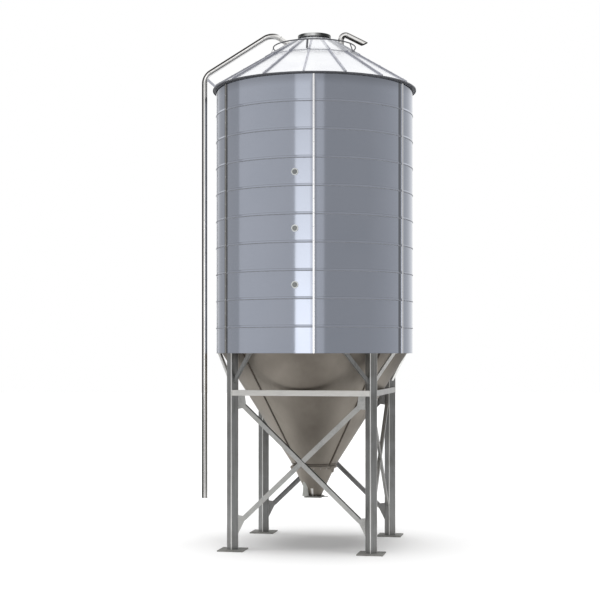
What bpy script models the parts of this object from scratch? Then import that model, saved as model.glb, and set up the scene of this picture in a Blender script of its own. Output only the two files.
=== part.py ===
# Grain silo on four legs: a round bin of ribbed sheet metal with a pointed roof and a
# hopper below, filled through an outside pipe and emptied at a slide gate.
# Metres, +Z up. The front faces -Y, and an azimuth is turned from the front towards +X.

import math

import bmesh
import bpy
from mathutils import Matrix, Vector

# Driving dimensions
GAP = 0.0003  # air between touching pieces

WALL_RADIUS = 1.75
WALL_THICKNESS = 0.004
WALL_BOTTOM = 3.385
WALL_TOP = 8.066
COURSES = 10
COURSE_HEIGHT = 0.47
TOP_COURSE_HEIGHT = 0.484
BEAD_HEIGHT = 0.036
BEAD_DEPTH = 0.010
PANELS = 6
PANEL_STEPS = 8
SEAM_AZIMUTH = 10.3
STRIP_WIDTH = 0.036
STRIP_DEPTH = 0.022
STRIP_CHAMFER = 0.004

EAVE_RADIUS = 1.812
EAVE_INNER_RADIUS = 1.7545
EAVE_THICKNESS = 0.008
EAVE_BOTTOM = 8.036
EAVE_LIP_BOTTOM = 8.044
EAVE_STEPS = 48

ROOF_RADIUS = 1.80
ROOF_SLOPE = math.radians(31.2)
ROOF_THICKNESS = 0.004
ROOF_SIDES = 16
ROOF_QUARTERS = {"roof_right": 50.0, "roof_rear": 140.0, "roof_left": 230.0, "roof_front": 320.0}
RIB_WIDTH = 0.030
RIB_HEIGHT = 0.024
CAP_RADIUS = 0.86
CAP_LAP = 0.008
ROOF_TOP = 8.9985

COLLAR_RADIUS = 0.270
COLLAR_THICKNESS = 0.014
COLLAR_TOP = 9.0505
LID_RADIUS = 0.295
LID_TOP = 9.056
LID_SKIRT_BOTTOM = 9.000
LID_SKIRT_THICKNESS = 0.006

RAIL_RADIUS = 0.734
RAIL_HEIGHT = 8.84
RAIL_ROD_RADIUS = 0.011
RAIL_POST_AZIMUTHS = (1.4, 68.9, 136.4, 226.4, 293.9)
RAIL_POST_WIDTH = 0.035
RAIL_POST_THICKNESS = 0.006
RAIL_POST_FOOT_RADIUS = 0.80

FILL_PIPE_RADIUS = 0.051
FILL_PIPE_WALL = 0.004
FILL_PIPE_AXIS = 2.028
FILL_PIPE_BOTTOM = 0.756
FILL_PIPE_CORNER = 8.4135
FILL_PIPE_BEND = 0.22
FILL_PIPE_RISE = 29.75
FILL_PIPE_CREST = 0.78
FILL_PIPE_CREST_BEND = 0.28
FILL_PIPE_FALL = 35.0
FILL_PIPE_LAST_RUN = 0.34

BRACKET_WIDTH = 0.032
BRACKET_THICKNESS = 0.008

VENT_RADIUS = 0.053
VENT_WALL = 0.004
VENT_AXIS = 0.484
VENT_BOTTOM = 8.80
VENT_BEND_BOTTOM = 8.965
VENT_BEND = 0.078
VENT_FALL = 28.0
VENT_RUN = 0.345
VENT_SLANT = 0.95

HOPPER_TOP = 3.535
HOPPER_TOP_RADIUS = 1.742
HOPPER_SLOPE = 1.578  # rise over run
HOPPER_BOTTOM = 1.365
HOPPER_THICKNESS = 0.005
HOPPER_SHEETS = 4
HOPPER_STEPS = 10
HOPPER_SEAM_AZIMUTH = 53.0
FOLD_WIDTH = 0.030
FOLD_HEIGHT = 0.012
FOLD_END_HEIGHT = 0.001

JOINT_RING_RADIUS = 0.400
JOINT_RING_TOP = 1.390
JOINT_RING_BOTTOM = 1.352
JOINT_RING_BORE = 0.350

SPOUT_TOP_RADIUS = 0.362
SPOUT_BOTTOM_RADIUS = 0.125
SPOUT_THICKNESS = 0.0055

OUTLET_RADIUS = 0.175
OUTLET_BORE = 0.115
OUTLET_TOP = 0.845
OUTLET_THICKNESS = 0.010
GUIDE_LENGTH = 0.31
GUIDE_WIDTH = 0.022
GUIDE_LIP = 0.020
BLADE_WIDTH = 0.25
BLADE_THICKNESS = 0.006
BLADE_CLEARANCE = 0.005
BLADE_REAR = -0.150
BLADE_FRONT = 0.165
TONGUE_END = 0.245
TONGUE_WIDTH = 0.11

PORT_AZIMUTH = -41.0
PORT_DISTANCE = 0.20
PORT_RADIUS = 0.047
PORT_MOUTH_RADIUS = 0.057
PORT_TOP = 1.10
PORT_MOUTH_TOP = 0.95
PORT_BOTTOM = 0.8462
PORT_WALL = 0.004

GLASS_RADIUS = 0.061
PANE_RADIUS = 0.042
GLASS_DEPTH = 0.020
GLASS_HEIGHTS = (6.407, 5.467, 4.527)

LEG_WIDTH = 0.150
LEG_RADIUS = 1.70
LEG_ARRIS = 0.012
LEG_AZIMUTHS = {"leg_front_right": 45, "leg_rear_right": 135, "leg_rear_left": 225,
                "leg_front_left": 315}
STRUT_SPREAD = 16.5
STRUT_END_RADIUS = 1.735
STRUT_LOWER = 2.89
STRUT_DEPTH = 0.060
STRUT_THICKNESS = 0.047
STRUT_PLATE = 0.006
FOOT_WIDTH = 0.445
FOOT_THICKNESS = 0.020

BEAM_BOTTOM = 2.660
BEAM_TOP = 2.757
BEAM_INNER_FACE = 1.2535
BEAM_WIDTH = 0.045
BRACED_SIDES = {"front": 0, "right": 90, "rear": 180}

BRACE_MIDDLE = 1.517
BRACE_RISE = 0.96  # rise over run of each diagonal
BRACE_REACH = 1.0
BRACE_WIDTH = 0.086
BRACE_FLANGE = 0.060
BRACE_THICKNESS = 0.008
GUSSET_THICKNESS = 0.010

# Derived dimensions
ROOF_BOTTOM = WALL_TOP + GAP
ROOF_RUN = 1 / math.tan(ROOF_SLOPE)
HALF_SIDE = 180.0 / ROOF_SIDES
RIB_OUT = RIB_HEIGHT / math.sin(ROOF_SLOPE)
CAP_OUT = CAP_LAP / math.sin(ROOF_SLOPE)
HOPPER_ANGLE = math.atan(HOPPER_SLOPE)
LEG_TOP = WALL_BOTTOM - GAP
LEG_OFFSET = LEG_RADIUS / math.sqrt(2)
ARRIS_REACH = (LEG_WIDTH / 2 - LEG_ARRIS) * math.sqrt(2) + LEG_ARRIS
# The fill pipe stands out on one side only, so the silo's axis lies beside the middle
# of the whole object.
AXIS_X = (FILL_PIPE_AXIS + FILL_PIPE_RADIUS - EAVE_RADIUS) / 2


def polar(radius, azimuth, z=0.0):
    angle = math.radians(azimuth)
    return Vector((radius * math.sin(angle), -radius * math.cos(angle), z))


def flat_side_radius(vertex_radius, azimuth):
    # Reach of a sixteen-sided outline that has a corner at azimuth 0
    from_middle = (azimuth % (2 * HALF_SIDE)) - HALF_SIDE
    return vertex_radius * math.cos(math.radians(HALF_SIDE)) / math.cos(math.radians(from_middle))


def hopper_radius(z):
    return HOPPER_TOP_RADIUS - (HOPPER_TOP - z) / HOPPER_SLOPE


def finish(name, color, roughness, metallic):
    made = bpy.data.materials.new(name)
    made.use_nodes = True
    shader = made.node_tree.nodes["Principled BSDF"]
    shader.inputs["Base Color"].default_value = (*color, 1.0)
    shader.inputs["Roughness"].default_value = roughness
    shader.inputs["Metallic"].default_value = metallic
    made.diffuse_color = (*color, 1.0)
    return made


def mesh_from(bm, name):
    bmesh.ops.recalc_face_normals(bm, faces=bm.faces[:])
    mesh = bpy.data.meshes.new(name)
    bm.to_mesh(mesh)
    bm.free()
    return mesh


def place(name, mesh, surface, parent, turn=0.0, smooth_angle=None):
    # One piece of the silo, turned about its axis
    if smooth_angle is not None:
        mesh.shade_smooth()
        mesh.set_sharp_from_angle(angle=math.radians(smooth_angle))
    if not mesh.materials:
        mesh.materials.append(surface)
    piece = bpy.data.objects.new(name, mesh)
    bpy.context.scene.collection.objects.link(piece)
    piece.parent = parent
    piece.rotation_euler.z = math.radians(turn)
    return piece


def helper_object(mesh):
    helper = bpy.data.objects.new("shape", mesh)
    bpy.context.scene.collection.objects.link(helper)
    return helper


def combined(base_mesh, steps):
    # The base shape after steps of (operation, shape)
    base = helper_object(base_mesh)
    helpers = [base]
    for operation, mesh in steps:
        helper = helper_object(mesh)
        helpers.append(helper)
        modifier = base.modifiers.new(operation.title(), "BOOLEAN")
        modifier.operation = operation
        modifier.solver = "EXACT"
        modifier.object = helper
    graph = bpy.context.evaluated_depsgraph_get()
    result = bpy.data.meshes.new_from_object(base.evaluated_get(graph))
    for helper in helpers:
        bpy.data.objects.remove(helper)
    result.materials.clear()
    return result


def moved(mesh, matrix):
    mesh.transform(matrix)
    return mesh


def loft(sections, name):
    # A closed body through outlines with equal numbers of points
    bm = bmesh.new()
    rings = [[bm.verts.new(point) for point in section] for section in sections]
    count = len(rings[0])
    for lower, upper in zip(rings, rings[1:]):
        for i in range(count):
            j = (i + 1) % count
            bm.faces.new((lower[i], lower[j], upper[j], upper[i]))
    bm.faces.new(rings[0][::-1])
    bm.faces.new(rings[-1])
    return mesh_from(bm, name)


def prism(outline, along, name):
    return loft([outline, [Vector(point) + Vector(along) for point in outline]], name)


def block(low, high, name):
    corners = ((low[0], low[1]), (high[0], low[1]), (high[0], high[1]), (low[0], high[1]))
    return prism([Vector((x, y, low[2])) for x, y in corners], (0, 0, high[2] - low[2]), name)


def cylinder(start, end, radius, name, sides=24):
    bm = bmesh.new()
    start = Vector(start)
    along = Vector(end) - start
    turn = along.to_track_quat("Z", "Y").to_matrix().to_4x4()
    bmesh.ops.create_cone(bm, cap_ends=True, segments=sides, radius1=radius, radius2=radius,
                          depth=along.length, matrix=Matrix.Translation(start + along / 2) @ turn)
    return mesh_from(bm, name)


def turned(profile, name, steps):
    # A closed outline of (radius, height) points turned all the way round the axis
    bm = bmesh.new()
    verts = [bm.verts.new(polar(radius, 0.0, z)) for radius, z in profile]
    edges = []
    for i, vert in enumerate(verts):
        following = verts[(i + 1) % len(verts)]
        if profile[i][0] > 0 or profile[(i + 1) % len(verts)][0] > 0:
            edges.append(bm.edges.new((vert, following)))
    bmesh.ops.spin(bm, geom=verts + edges, cent=(0, 0, 0), axis=(0, 0, 1),
                   angle=math.tau, steps=steps)
    bmesh.ops.remove_doubles(bm, verts=bm.verts[:], dist=0.00005)
    return mesh_from(bm, name)


def part_turned(profile, name, steps, start, end):
    # The same outline turned from one azimuth to another, with both ends closed
    bm = bmesh.new()
    face = bm.faces.new([bm.verts.new(polar(radius, start, z)) for radius, z in profile])
    bmesh.ops.spin(bm, geom=face.verts[:] + face.edges[:] + [face], cent=(0, 0, 0),
                   axis=(0, 0, 1), angle=math.radians(end - start), steps=steps)
    return mesh_from(bm, name)


def pipe_path(start, heading, moves):
    # Stations (point, direction) in the X-Z plane. The heading is counted from +X towards
    # +Z. A move is ("run", length) or ("bend", radius, degrees), a left turn being positive.
    point = Vector(start)
    stations = []

    def note():
        angle = math.radians(heading)
        stations.append((point.copy(), Vector((math.cos(angle), 0, math.sin(angle)))))

    note()
    for move in moves:
        if move[0] == "run":
            point = point + stations[-1][1] * move[1]
            note()
            continue
        radius, turn = move[1], move[2]
        side = math.copysign(1.0, turn)
        steps = max(3, round(abs(turn) / 12))
        across = Vector((-stations[-1][1].z, 0, stations[-1][1].x)) * side
        centre = point + across * radius
        for _ in range(steps):
            spin = Matrix.Rotation(-math.radians(turn / steps), 3, "Y")
            point = centre + spin @ (point - centre)
            heading += turn / steps
            note()
    return stations


def tube(stations, outer, inner, name, sides=16, slant=0.0):
    # A pipe along the stations, with a slanting cut at its last end
    bm = bmesh.new()
    rings = []
    for index, (point, direction) in enumerate(stations):
        upward = Vector((-direction.z, 0, direction.x))
        pair = []
        for radius in (outer, inner):
            ring = []
            for i in range(sides):
                angle = math.tau * i / sides
                offset = Vector((0, 1, 0)) * math.cos(angle) + upward * math.sin(angle)
                place_at = point + offset * radius
                if index == len(stations) - 1:
                    place_at = place_at + direction * (slant * radius * math.sin(angle))
                ring.append(bm.verts.new(place_at))
            pair.append(ring)
        rings.append(pair)
    for i in range(sides):
        j = (i + 1) % sides
        for first, second in zip(rings, rings[1:]):
            bm.faces.new((first[0][i], first[0][j], second[0][j], second[0][i]))
            bm.faces.new((first[1][j], first[1][i], second[1][i], second[1][j]))
        for outer_ring, inner_ring in (rings[0], rings[-1]):
            bm.faces.new((outer_ring[i], outer_ring[j], inner_ring[j], inner_ring[i]))
    return mesh_from(bm, name)


def wall(parent, surface, strip_surface):
    inner = WALL_RADIUS - WALL_THICKNESS
    profile = [(inner, WALL_BOTTOM), (WALL_RADIUS, WALL_BOTTOM)]
    for course in reversed(range(COURSES - 1)):
        seam = WALL_TOP - TOP_COURSE_HEIGHT - course * COURSE_HEIGHT
        proud = WALL_RADIUS + BEAD_DEPTH
        profile += [(WALL_RADIUS, seam - BEAD_HEIGHT / 9), (proud, seam),
                    (proud, seam + BEAD_HEIGHT / 3), (WALL_RADIUS, seam + BEAD_HEIGHT)]
    profile += [(WALL_RADIUS, WALL_TOP), (inner, WALL_TOP)]
    pitch = 360.0 / PANELS
    edge = math.degrees(math.asin((STRIP_WIDTH / 2 + GAP) / inner))
    panel = part_turned(profile, "wall_panel", PANEL_STEPS, edge, pitch - edge)

    # Each cover strip fills the joint between two panels and ends under the eave ring
    half = STRIP_WIDTH / 2
    face = WALL_RADIUS - WALL_THICKNESS + STRIP_DEPTH
    cut = STRIP_CHAMFER
    full = ((-half, inner), (half, inner), (half, face - cut), (half - cut, face),
            (cut - half, face), (-half, face - cut))
    thin = ((-half, inner), (half, inner), (half, WALL_RADIUS - 0.001), (half - cut, WALL_RADIUS),
            (cut - half, WALL_RADIUS), (-half, WALL_RADIUS - 0.001))
    levels = ((full, WALL_BOTTOM), (full, EAVE_BOTTOM - 0.0023), (thin, EAVE_BOTTOM - GAP),
              (thin, WALL_TOP))
    sections = [[Vector((x, -y, z)) for x, y in outline] for outline, z in levels]
    strip = loft(sections, "seam_strip")
    for k in range(PANELS):
        place(f"wall_panel_{k + 1}", panel, surface, parent, SEAM_AZIMUTH + k * pitch, 20)
        place(f"seam_strip_{k + 1}", strip, strip_surface, parent, SEAM_AZIMUTH + k * pitch)


def eave_ring(parent, surface):
    inner = EAVE_INNER_RADIUS
    thick = EAVE_THICKNESS
    profile = [(inner, EAVE_BOTTOM), (inner + thick, EAVE_BOTTOM),
               (inner + thick, WALL_TOP - thick), (EAVE_RADIUS - thick, WALL_TOP - thick),
               (EAVE_RADIUS - thick, EAVE_LIP_BOTTOM), (EAVE_RADIUS, EAVE_LIP_BOTTOM),
               (EAVE_RADIUS, WALL_TOP), (inner, WALL_TOP)]
    place("eave_ring", turned(profile, "eave_ring", EAVE_STEPS), surface, parent, 0, 20)


def roof_outline(z, sheet_out, rib_out, rib_limit=10.0):
    # One quarter of the roof cut level. The ribs at its two ends are halves.
    corner = ROOF_RADIUS - (z - ROOF_BOTTOM) * ROOF_RUN
    inner = corner - ROOF_THICKNESS / math.sin(ROOF_SLOPE)
    outer = corner + sheet_out
    half = math.degrees(RIB_WIDTH / 2 / corner)
    slit = math.degrees(GAP / 2 / inner)
    side = 2 * HALF_SIDE
    sheet = flat_side_radius(outer, half)
    rib = min(sheet + rib_out, rib_limit)
    points = [polar(rib, slit, z)]
    for k in range(4):
        near = k * side + half
        far = (k + 1) * side - half
        points += [polar(rib, near, z), polar(sheet, near, z), polar(sheet, far, z), polar(rib, far, z)]
    points += [polar(rib, 4 * side - slit, z), polar(inner, 4 * side - slit, z)]
    points += [polar(inner, k * side, z) for k in (3, 2, 1)]
    points.append(polar(inner, slit, z))
    return points


def roof_level(radius):
    return ROOF_BOTTOM + (ROOF_RADIUS - radius) / ROOF_RUN


def cap_surface(x, y):
    # Height of the upper roof sheets at a place in plan
    azimuth = math.degrees(math.atan2(x, -y)) - ROOF_QUARTERS["roof_right"]
    reach = math.hypot(x, y) / flat_side_radius(1.0, azimuth)
    return roof_level(reach - CAP_OUT)


def roof(parent, surface, fill_hole, vent_hole):
    limit = EAVE_RADIUS - 0.001
    small = 0.001
    sections = [roof_outline(ROOF_BOTTOM, 0, RIB_OUT, limit),
                roof_outline(roof_level(limit - RIB_OUT), 0, RIB_OUT, limit),
                roof_outline(roof_level(CAP_RADIUS), 0, RIB_OUT),
                roof_outline(roof_level(CAP_RADIUS) + 0.004, CAP_OUT, RIB_OUT),
                roof_outline(roof_level(0.37), CAP_OUT, RIB_OUT),
                roof_outline(roof_level(0.33), CAP_OUT, small),
                roof_outline(ROOF_TOP, CAP_OUT, small)]
    quarter = loft(sections, "roof_quarter")
    holes = {"roof_left": fill_hole, "roof_right": vent_hole}
    for name, azimuth in ROOF_QUARTERS.items():
        mesh = quarter
        if name in holes:
            hole = moved(holes[name], Matrix.Rotation(-math.radians(azimuth), 4, "Z"))
            mesh = combined(quarter.copy(), [("DIFFERENCE", hole)])
            mesh.name = name
        place(name, mesh, surface, parent, azimuth)


def roof_top_pieces(parent, dark, bright):
    inner = COLLAR_RADIUS - COLLAR_THICKNESS
    collar = [(inner, ROOF_TOP + GAP), (COLLAR_RADIUS, ROOF_TOP + GAP),
              (COLLAR_RADIUS, COLLAR_TOP), (inner, COLLAR_TOP)]
    place("roof_collar", turned(collar, "roof_collar", 32), bright, parent, 0, 20)

    under = COLLAR_TOP + GAP
    skirt = LID_RADIUS - LID_SKIRT_THICKNESS
    lid = [(0, LID_TOP), (LID_RADIUS - 0.004, LID_TOP), (LID_RADIUS, LID_TOP - 0.004),
           (LID_RADIUS, LID_SKIRT_BOTTOM), (skirt, LID_SKIRT_BOTTOM), (skirt, under), (0, under)]
    place("roof_lid", turned(lid, "roof_lid", 32), bright, parent, 0, 20)

    circle = []
    for k in range(10):
        angle = math.tau * k / 10
        circle.append((RAIL_RADIUS + RAIL_ROD_RADIUS * math.cos(angle),
                       RAIL_HEIGHT + RAIL_ROD_RADIUS * math.sin(angle)))
    posts = []
    for azimuth in RAIL_POST_AZIMUTHS:
        radial = polar(1.0, azimuth)
        tangent = Vector((-radial.y, radial.x, 0))
        half = RAIL_POST_WIDTH / 2
        thick = RAIL_POST_THICKNESS / 2
        corners = ((-half, -thick), (half, -thick), (half, thick), (-half, thick))
        top = []
        foot = []
        for across, out in corners:
            point = radial * (RAIL_RADIUS + out) + tangent * across
            top.append(Vector((point.x, point.y, RAIL_HEIGHT + 0.002)))
            point = radial * (RAIL_POST_FOOT_RADIUS + out) + tangent * across
            foot.append(Vector((point.x, point.y, cap_surface(point.x, point.y) + 2 * GAP)))
        posts.append(("UNION", loft([foot, top], "rail_post")))
    rail = combined(turned(circle, "roof_rail", 48), posts)
    rail.name = "roof_rail"
    place("roof_rail", rail, dark, parent, 0, 40)


def fill_pipe_route():
    rise = 90.0 - FILL_PIPE_RISE
    tangent = FILL_PIPE_BEND * math.tan(math.radians(rise / 2))
    slope = math.radians(FILL_PIPE_RISE)
    crest_start = FILL_PIPE_CREST + FILL_PIPE_CREST_BEND * math.sin(slope)
    sloping = (FILL_PIPE_AXIS - crest_start) / math.cos(slope) - tangent
    moves = [("run", FILL_PIPE_CORNER - tangent - FILL_PIPE_BOTTOM),
             ("bend", FILL_PIPE_BEND, -rise), ("run", sloping),
             ("bend", FILL_PIPE_CREST_BEND, -FILL_PIPE_RISE - FILL_PIPE_FALL),
             ("run", FILL_PIPE_LAST_RUN)]
    return pipe_path((-FILL_PIPE_AXIS, 0, FILL_PIPE_BOTTOM), 90.0, moves)


def vent_route():
    moves = [("run", VENT_BEND_BOTTOM - VENT_BOTTOM), ("bend", VENT_BEND, -90.0 - VENT_FALL),
             ("run", VENT_RUN)]
    return pipe_path((VENT_AXIS, 0, VENT_BOTTOM), 90.0, moves)


def pipe_bracket(parent, surface, route):
    # A flat bar from the eave ring up to the bend of the fill pipe
    low = WALL_TOP + GAP
    edge = EAVE_RADIUS - 0.001
    outline = ((-edge, low), (-edge + BRACKET_WIDTH, low), (-edge + BRACKET_WIDTH, 8.185),
               (-1.825, 8.245), (-1.965, 8.375), (-2.000, 8.345), (-1.855, 8.215), (-edge, 8.170))
    start = BRACKET_THICKNESS / 2
    points = [Vector((x, -start, z)) for x, z in outline]
    bar = prism(points, (0, BRACKET_THICKNESS, 0), "pipe_bracket")
    room = tube(route, FILL_PIPE_RADIUS + GAP, 0.002, "room", sides=24)
    bracket = combined(bar, [("DIFFERENCE", room)])
    bracket.name = "pipe_bracket"
    place("pipe_bracket", bracket, surface, parent)


def pipes(parent, surface, bracket_surface):
    route = fill_pipe_route()
    inner = FILL_PIPE_RADIUS - FILL_PIPE_WALL
    place("fill_pipe", tube(route, FILL_PIPE_RADIUS, inner, "fill_pipe"), surface, parent, 0, 30)
    pipe_bracket(parent, bracket_surface, route)
    route = vent_route()
    vent = tube(route, VENT_RADIUS, VENT_RADIUS - VENT_WALL, "vent_pipe", slant=VENT_SLANT)
    place("vent_pipe", vent, surface, parent, 0, 30)


def hopper_outline(z, fold_height):
    # One quarter of the hopper cut level, with half of a folded seam at each end
    sine = math.sin(HOPPER_ANGLE)
    outer = hopper_radius(z)
    inner = outer - HOPPER_THICKNESS / sine
    fold = outer + fold_height / sine
    half = math.degrees(FOLD_WIDTH / 2 / outer)
    slit = math.degrees(GAP / 2 / inner)
    last = 360.0 / HOPPER_SHEETS
    steps = range(HOPPER_STEPS + 1)
    azimuths = [half + (last - 2 * half) * i / HOPPER_STEPS for i in steps]
    points = [polar(fold, slit, z), polar(fold, half, z)]
    points += [polar(outer, azimuth, z) for azimuth in azimuths]
    points += [polar(fold, last - half, z), polar(fold, last - slit, z)]
    points.append(polar(inner, last - slit, z))
    points += [polar(inner, azimuth, z) for azimuth in reversed(azimuths[1:-1])]
    points.append(polar(inner, slit, z))
    return points


def hopper(parent, surface):
    levels = ((HOPPER_BOTTOM, FOLD_END_HEIGHT), (JOINT_RING_TOP + 0.010, FOLD_END_HEIGHT),
              (JOINT_RING_TOP + 0.030, FOLD_HEIGHT), (3.48, FOLD_HEIGHT),
              (3.515, FOLD_END_HEIGHT / 10), (HOPPER_TOP, FOLD_END_HEIGHT / 10))
    sheet = loft([hopper_outline(z, fold) for z, fold in levels], "hopper_sheet")
    for k in range(HOPPER_SHEETS):
        turn = HOPPER_SEAM_AZIMUTH + k * 360.0 / HOPPER_SHEETS
        place(f"hopper_sheet_{k + 1}", sheet, surface, parent, turn, 15)


def joint_ring(parent, surface):
    steps = 40
    room = 1.0 / math.cos(math.pi / steps)
    lip = 2 * FOLD_END_HEIGHT + GAP
    seat = HOPPER_BOTTOM - GAP
    profile = [(JOINT_RING_BORE, JOINT_RING_BOTTOM), (JOINT_RING_RADIUS, JOINT_RING_BOTTOM),
               (JOINT_RING_RADIUS, JOINT_RING_TOP),
               ((hopper_radius(JOINT_RING_TOP) + lip) * room, JOINT_RING_TOP),
               ((hopper_radius(seat) + lip) * room, seat), (JOINT_RING_BORE, seat)]
    ring = turned(profile, "joint_ring", steps)
    # The pointed latch plate hangs in front on the right, the clamp boss sits on the left
    out = polar(1.0, 64.0)
    along = Vector((-out.y, out.x, 0))
    middle = out * (JOINT_RING_RADIUS - 0.004)
    corners = ((-0.065, 1.380), (0.065, 1.380), (0.018, 1.275), (-0.018, 1.275))
    outline = [middle + along * across + Vector((0, 0, z)) for across, z in corners]
    latch = prism(outline, out * 0.010, "latch")
    boss = cylinder((-0.352, -0.200, 1.363), (-0.352, -0.255, 1.363), 0.034, "boss", 16)
    high = JOINT_RING_TOP + 0.05
    inside = turned([(0, seat), ((hopper_radius(seat) + lip) * room, seat),
                     ((hopper_radius(high) + lip) * room, high), (0, high)], "inside", steps)
    ring = combined(ring, [("UNION", latch), ("UNION", boss), ("DIFFERENCE", inside)])
    ring.name = "hopper_joint_ring"
    place("hopper_joint_ring", ring, surface, parent, 0, 20)


def spout(parent, surface):
    top = JOINT_RING_BOTTOM - GAP
    bottom = OUTLET_TOP + GAP
    profile = [(SPOUT_BOTTOM_RADIUS, bottom), (SPOUT_TOP_RADIUS, top),
               (SPOUT_TOP_RADIUS - SPOUT_THICKNESS, top),
               (SPOUT_BOTTOM_RADIUS - SPOUT_THICKNESS, bottom)]
    place("hopper_spout", turned(profile, "hopper_spout", 36), surface, parent, 0, 20)


def side_port(parent, surface):
    # A short pipe against the spout with a wider mouth, cut away where the spout stands
    wall_inner = PORT_RADIUS - PORT_WALL
    mouth_inner = PORT_MOUTH_RADIUS - PORT_WALL
    profile = [(mouth_inner, PORT_BOTTOM), (PORT_MOUTH_RADIUS, PORT_BOTTOM),
               (PORT_RADIUS, PORT_MOUTH_TOP), (PORT_RADIUS, PORT_TOP), (wall_inner, PORT_TOP),
               (wall_inner, PORT_MOUTH_TOP)]
    at = polar(PORT_DISTANCE, PORT_AZIMUTH)
    port = moved(turned(profile, "side_port", 24), Matrix.Translation(at))
    top = JOINT_RING_BOTTOM + 0.05
    run = (SPOUT_TOP_RADIUS - SPOUT_BOTTOM_RADIUS) / (JOINT_RING_BOTTOM - OUTLET_TOP - 2 * GAP)
    low = OUTLET_TOP - 0.05
    room = [(0, low), (SPOUT_BOTTOM_RADIUS - run * 0.05 + 0.0008, low),
            (SPOUT_TOP_RADIUS + run * 0.05 + 0.0008, top), (0, top)]
    port = combined(port, [("DIFFERENCE", turned(room, "room", 36))])
    port.name = "side_port"
    place("side_port", port, surface, parent, 0, 20)


def outlet(parent, surface, blade_surface):
    under = OUTLET_TOP - OUTLET_THICKNESS
    disc = turned([(OUTLET_BORE, under), (OUTLET_RADIUS, under), (OUTLET_RADIUS, OUTLET_TOP),
                   (OUTLET_BORE, OUTLET_TOP)], "outlet_flange", 36)
    blade_top = under - BLADE_CLEARANCE
    blade_bottom = blade_top - BLADE_THICKNESS
    lip_top = blade_bottom - GAP
    edge = BLADE_WIDTH / 2 + BLADE_CLEARANCE
    guides = []
    for side in (-1, 1):
        outline = ((edge, under + 0.003), (edge, lip_top), (edge - BLADE_CLEARANCE - GUIDE_LIP, lip_top),
                   (edge - BLADE_CLEARANCE - GUIDE_LIP, lip_top - 0.008),
                   (edge + GUIDE_WIDTH, lip_top - 0.008), (edge + GUIDE_WIDTH, under + 0.003))
        points = [Vector((-GUIDE_LENGTH / 2, side * y, z)) for y, z in outline]
        guides.append(("UNION", prism(points, (GUIDE_LENGTH, 0, 0), "guide")))
    flange = combined(disc, guides)
    flange.name = "outlet_flange"
    place("outlet_flange", flange, surface, parent)

    half = BLADE_WIDTH / 2
    tongue = TONGUE_WIDTH / 2
    outline = ((BLADE_REAR, -half), (BLADE_FRONT - 0.03, -half), (BLADE_FRONT, -tongue),
               (TONGUE_END, -tongue), (TONGUE_END, tongue), (BLADE_FRONT, tongue),
               (BLADE_FRONT - 0.03, half), (BLADE_REAR, half))
    points = [Vector((x, y, blade_bottom)) for x, y in outline]
    blade = prism(points, (0, 0, BLADE_THICKNESS), "gate_blade")
    place("gate_blade", blade, blade_surface, parent)


def sight_glasses(parent, surface):
    # The wall is flat where the glasses sit, so they stand square to that flat
    pitch = 360.0 / PANELS
    edge = math.degrees(math.asin((STRIP_WIDTH / 2 + GAP) / (WALL_RADIUS - WALL_THICKNESS)))
    step = (pitch - 2 * edge) / PANEL_STEPS
    facet = SEAM_AZIMUTH - edge - 1.5 * step
    reach = WALL_RADIUS * math.cos(math.radians(step / 2)) + GAP
    along = reach * math.tan(math.radians(-facet))
    profile = [(0, 0), (GLASS_RADIUS, 0), (GLASS_RADIUS, 0.6 * GLASS_DEPTH),
               (GLASS_RADIUS - 0.006, GLASS_DEPTH), (PANE_RADIUS + 0.003, GLASS_DEPTH),
               (PANE_RADIUS, 0.6 * GLASS_DEPTH), (0, 0.6 * GLASS_DEPTH)]
    glass = turned(profile, "sight_glass", 24)
    moved(glass, Matrix.Rotation(math.radians(90), 4, "X"))
    for k, z in enumerate(GLASS_HEIGHTS):
        piece = place(f"sight_glass_{k + 1}", glass, surface, parent, facet, 30)
        radial = polar(reach, facet)
        tangent = Vector((-radial.y, radial.x, 0)).normalized()
        piece.location = radial + tangent * along + Vector((0, 0, z))


def rounded_square(width, arris, centre, z):
    points = []
    reach = width / 2 - arris
    for corner, (sx, sy) in enumerate(((1, 1), (-1, 1), (-1, -1), (1, -1))):
        for k in range(5):
            angle = math.radians(90 * corner + 22.5 * k)
            points.append(Vector((centre[0] + sx * reach + arris * math.cos(angle),
                                  centre[1] + sy * reach + arris * math.sin(angle), z)))
    return points


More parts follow.
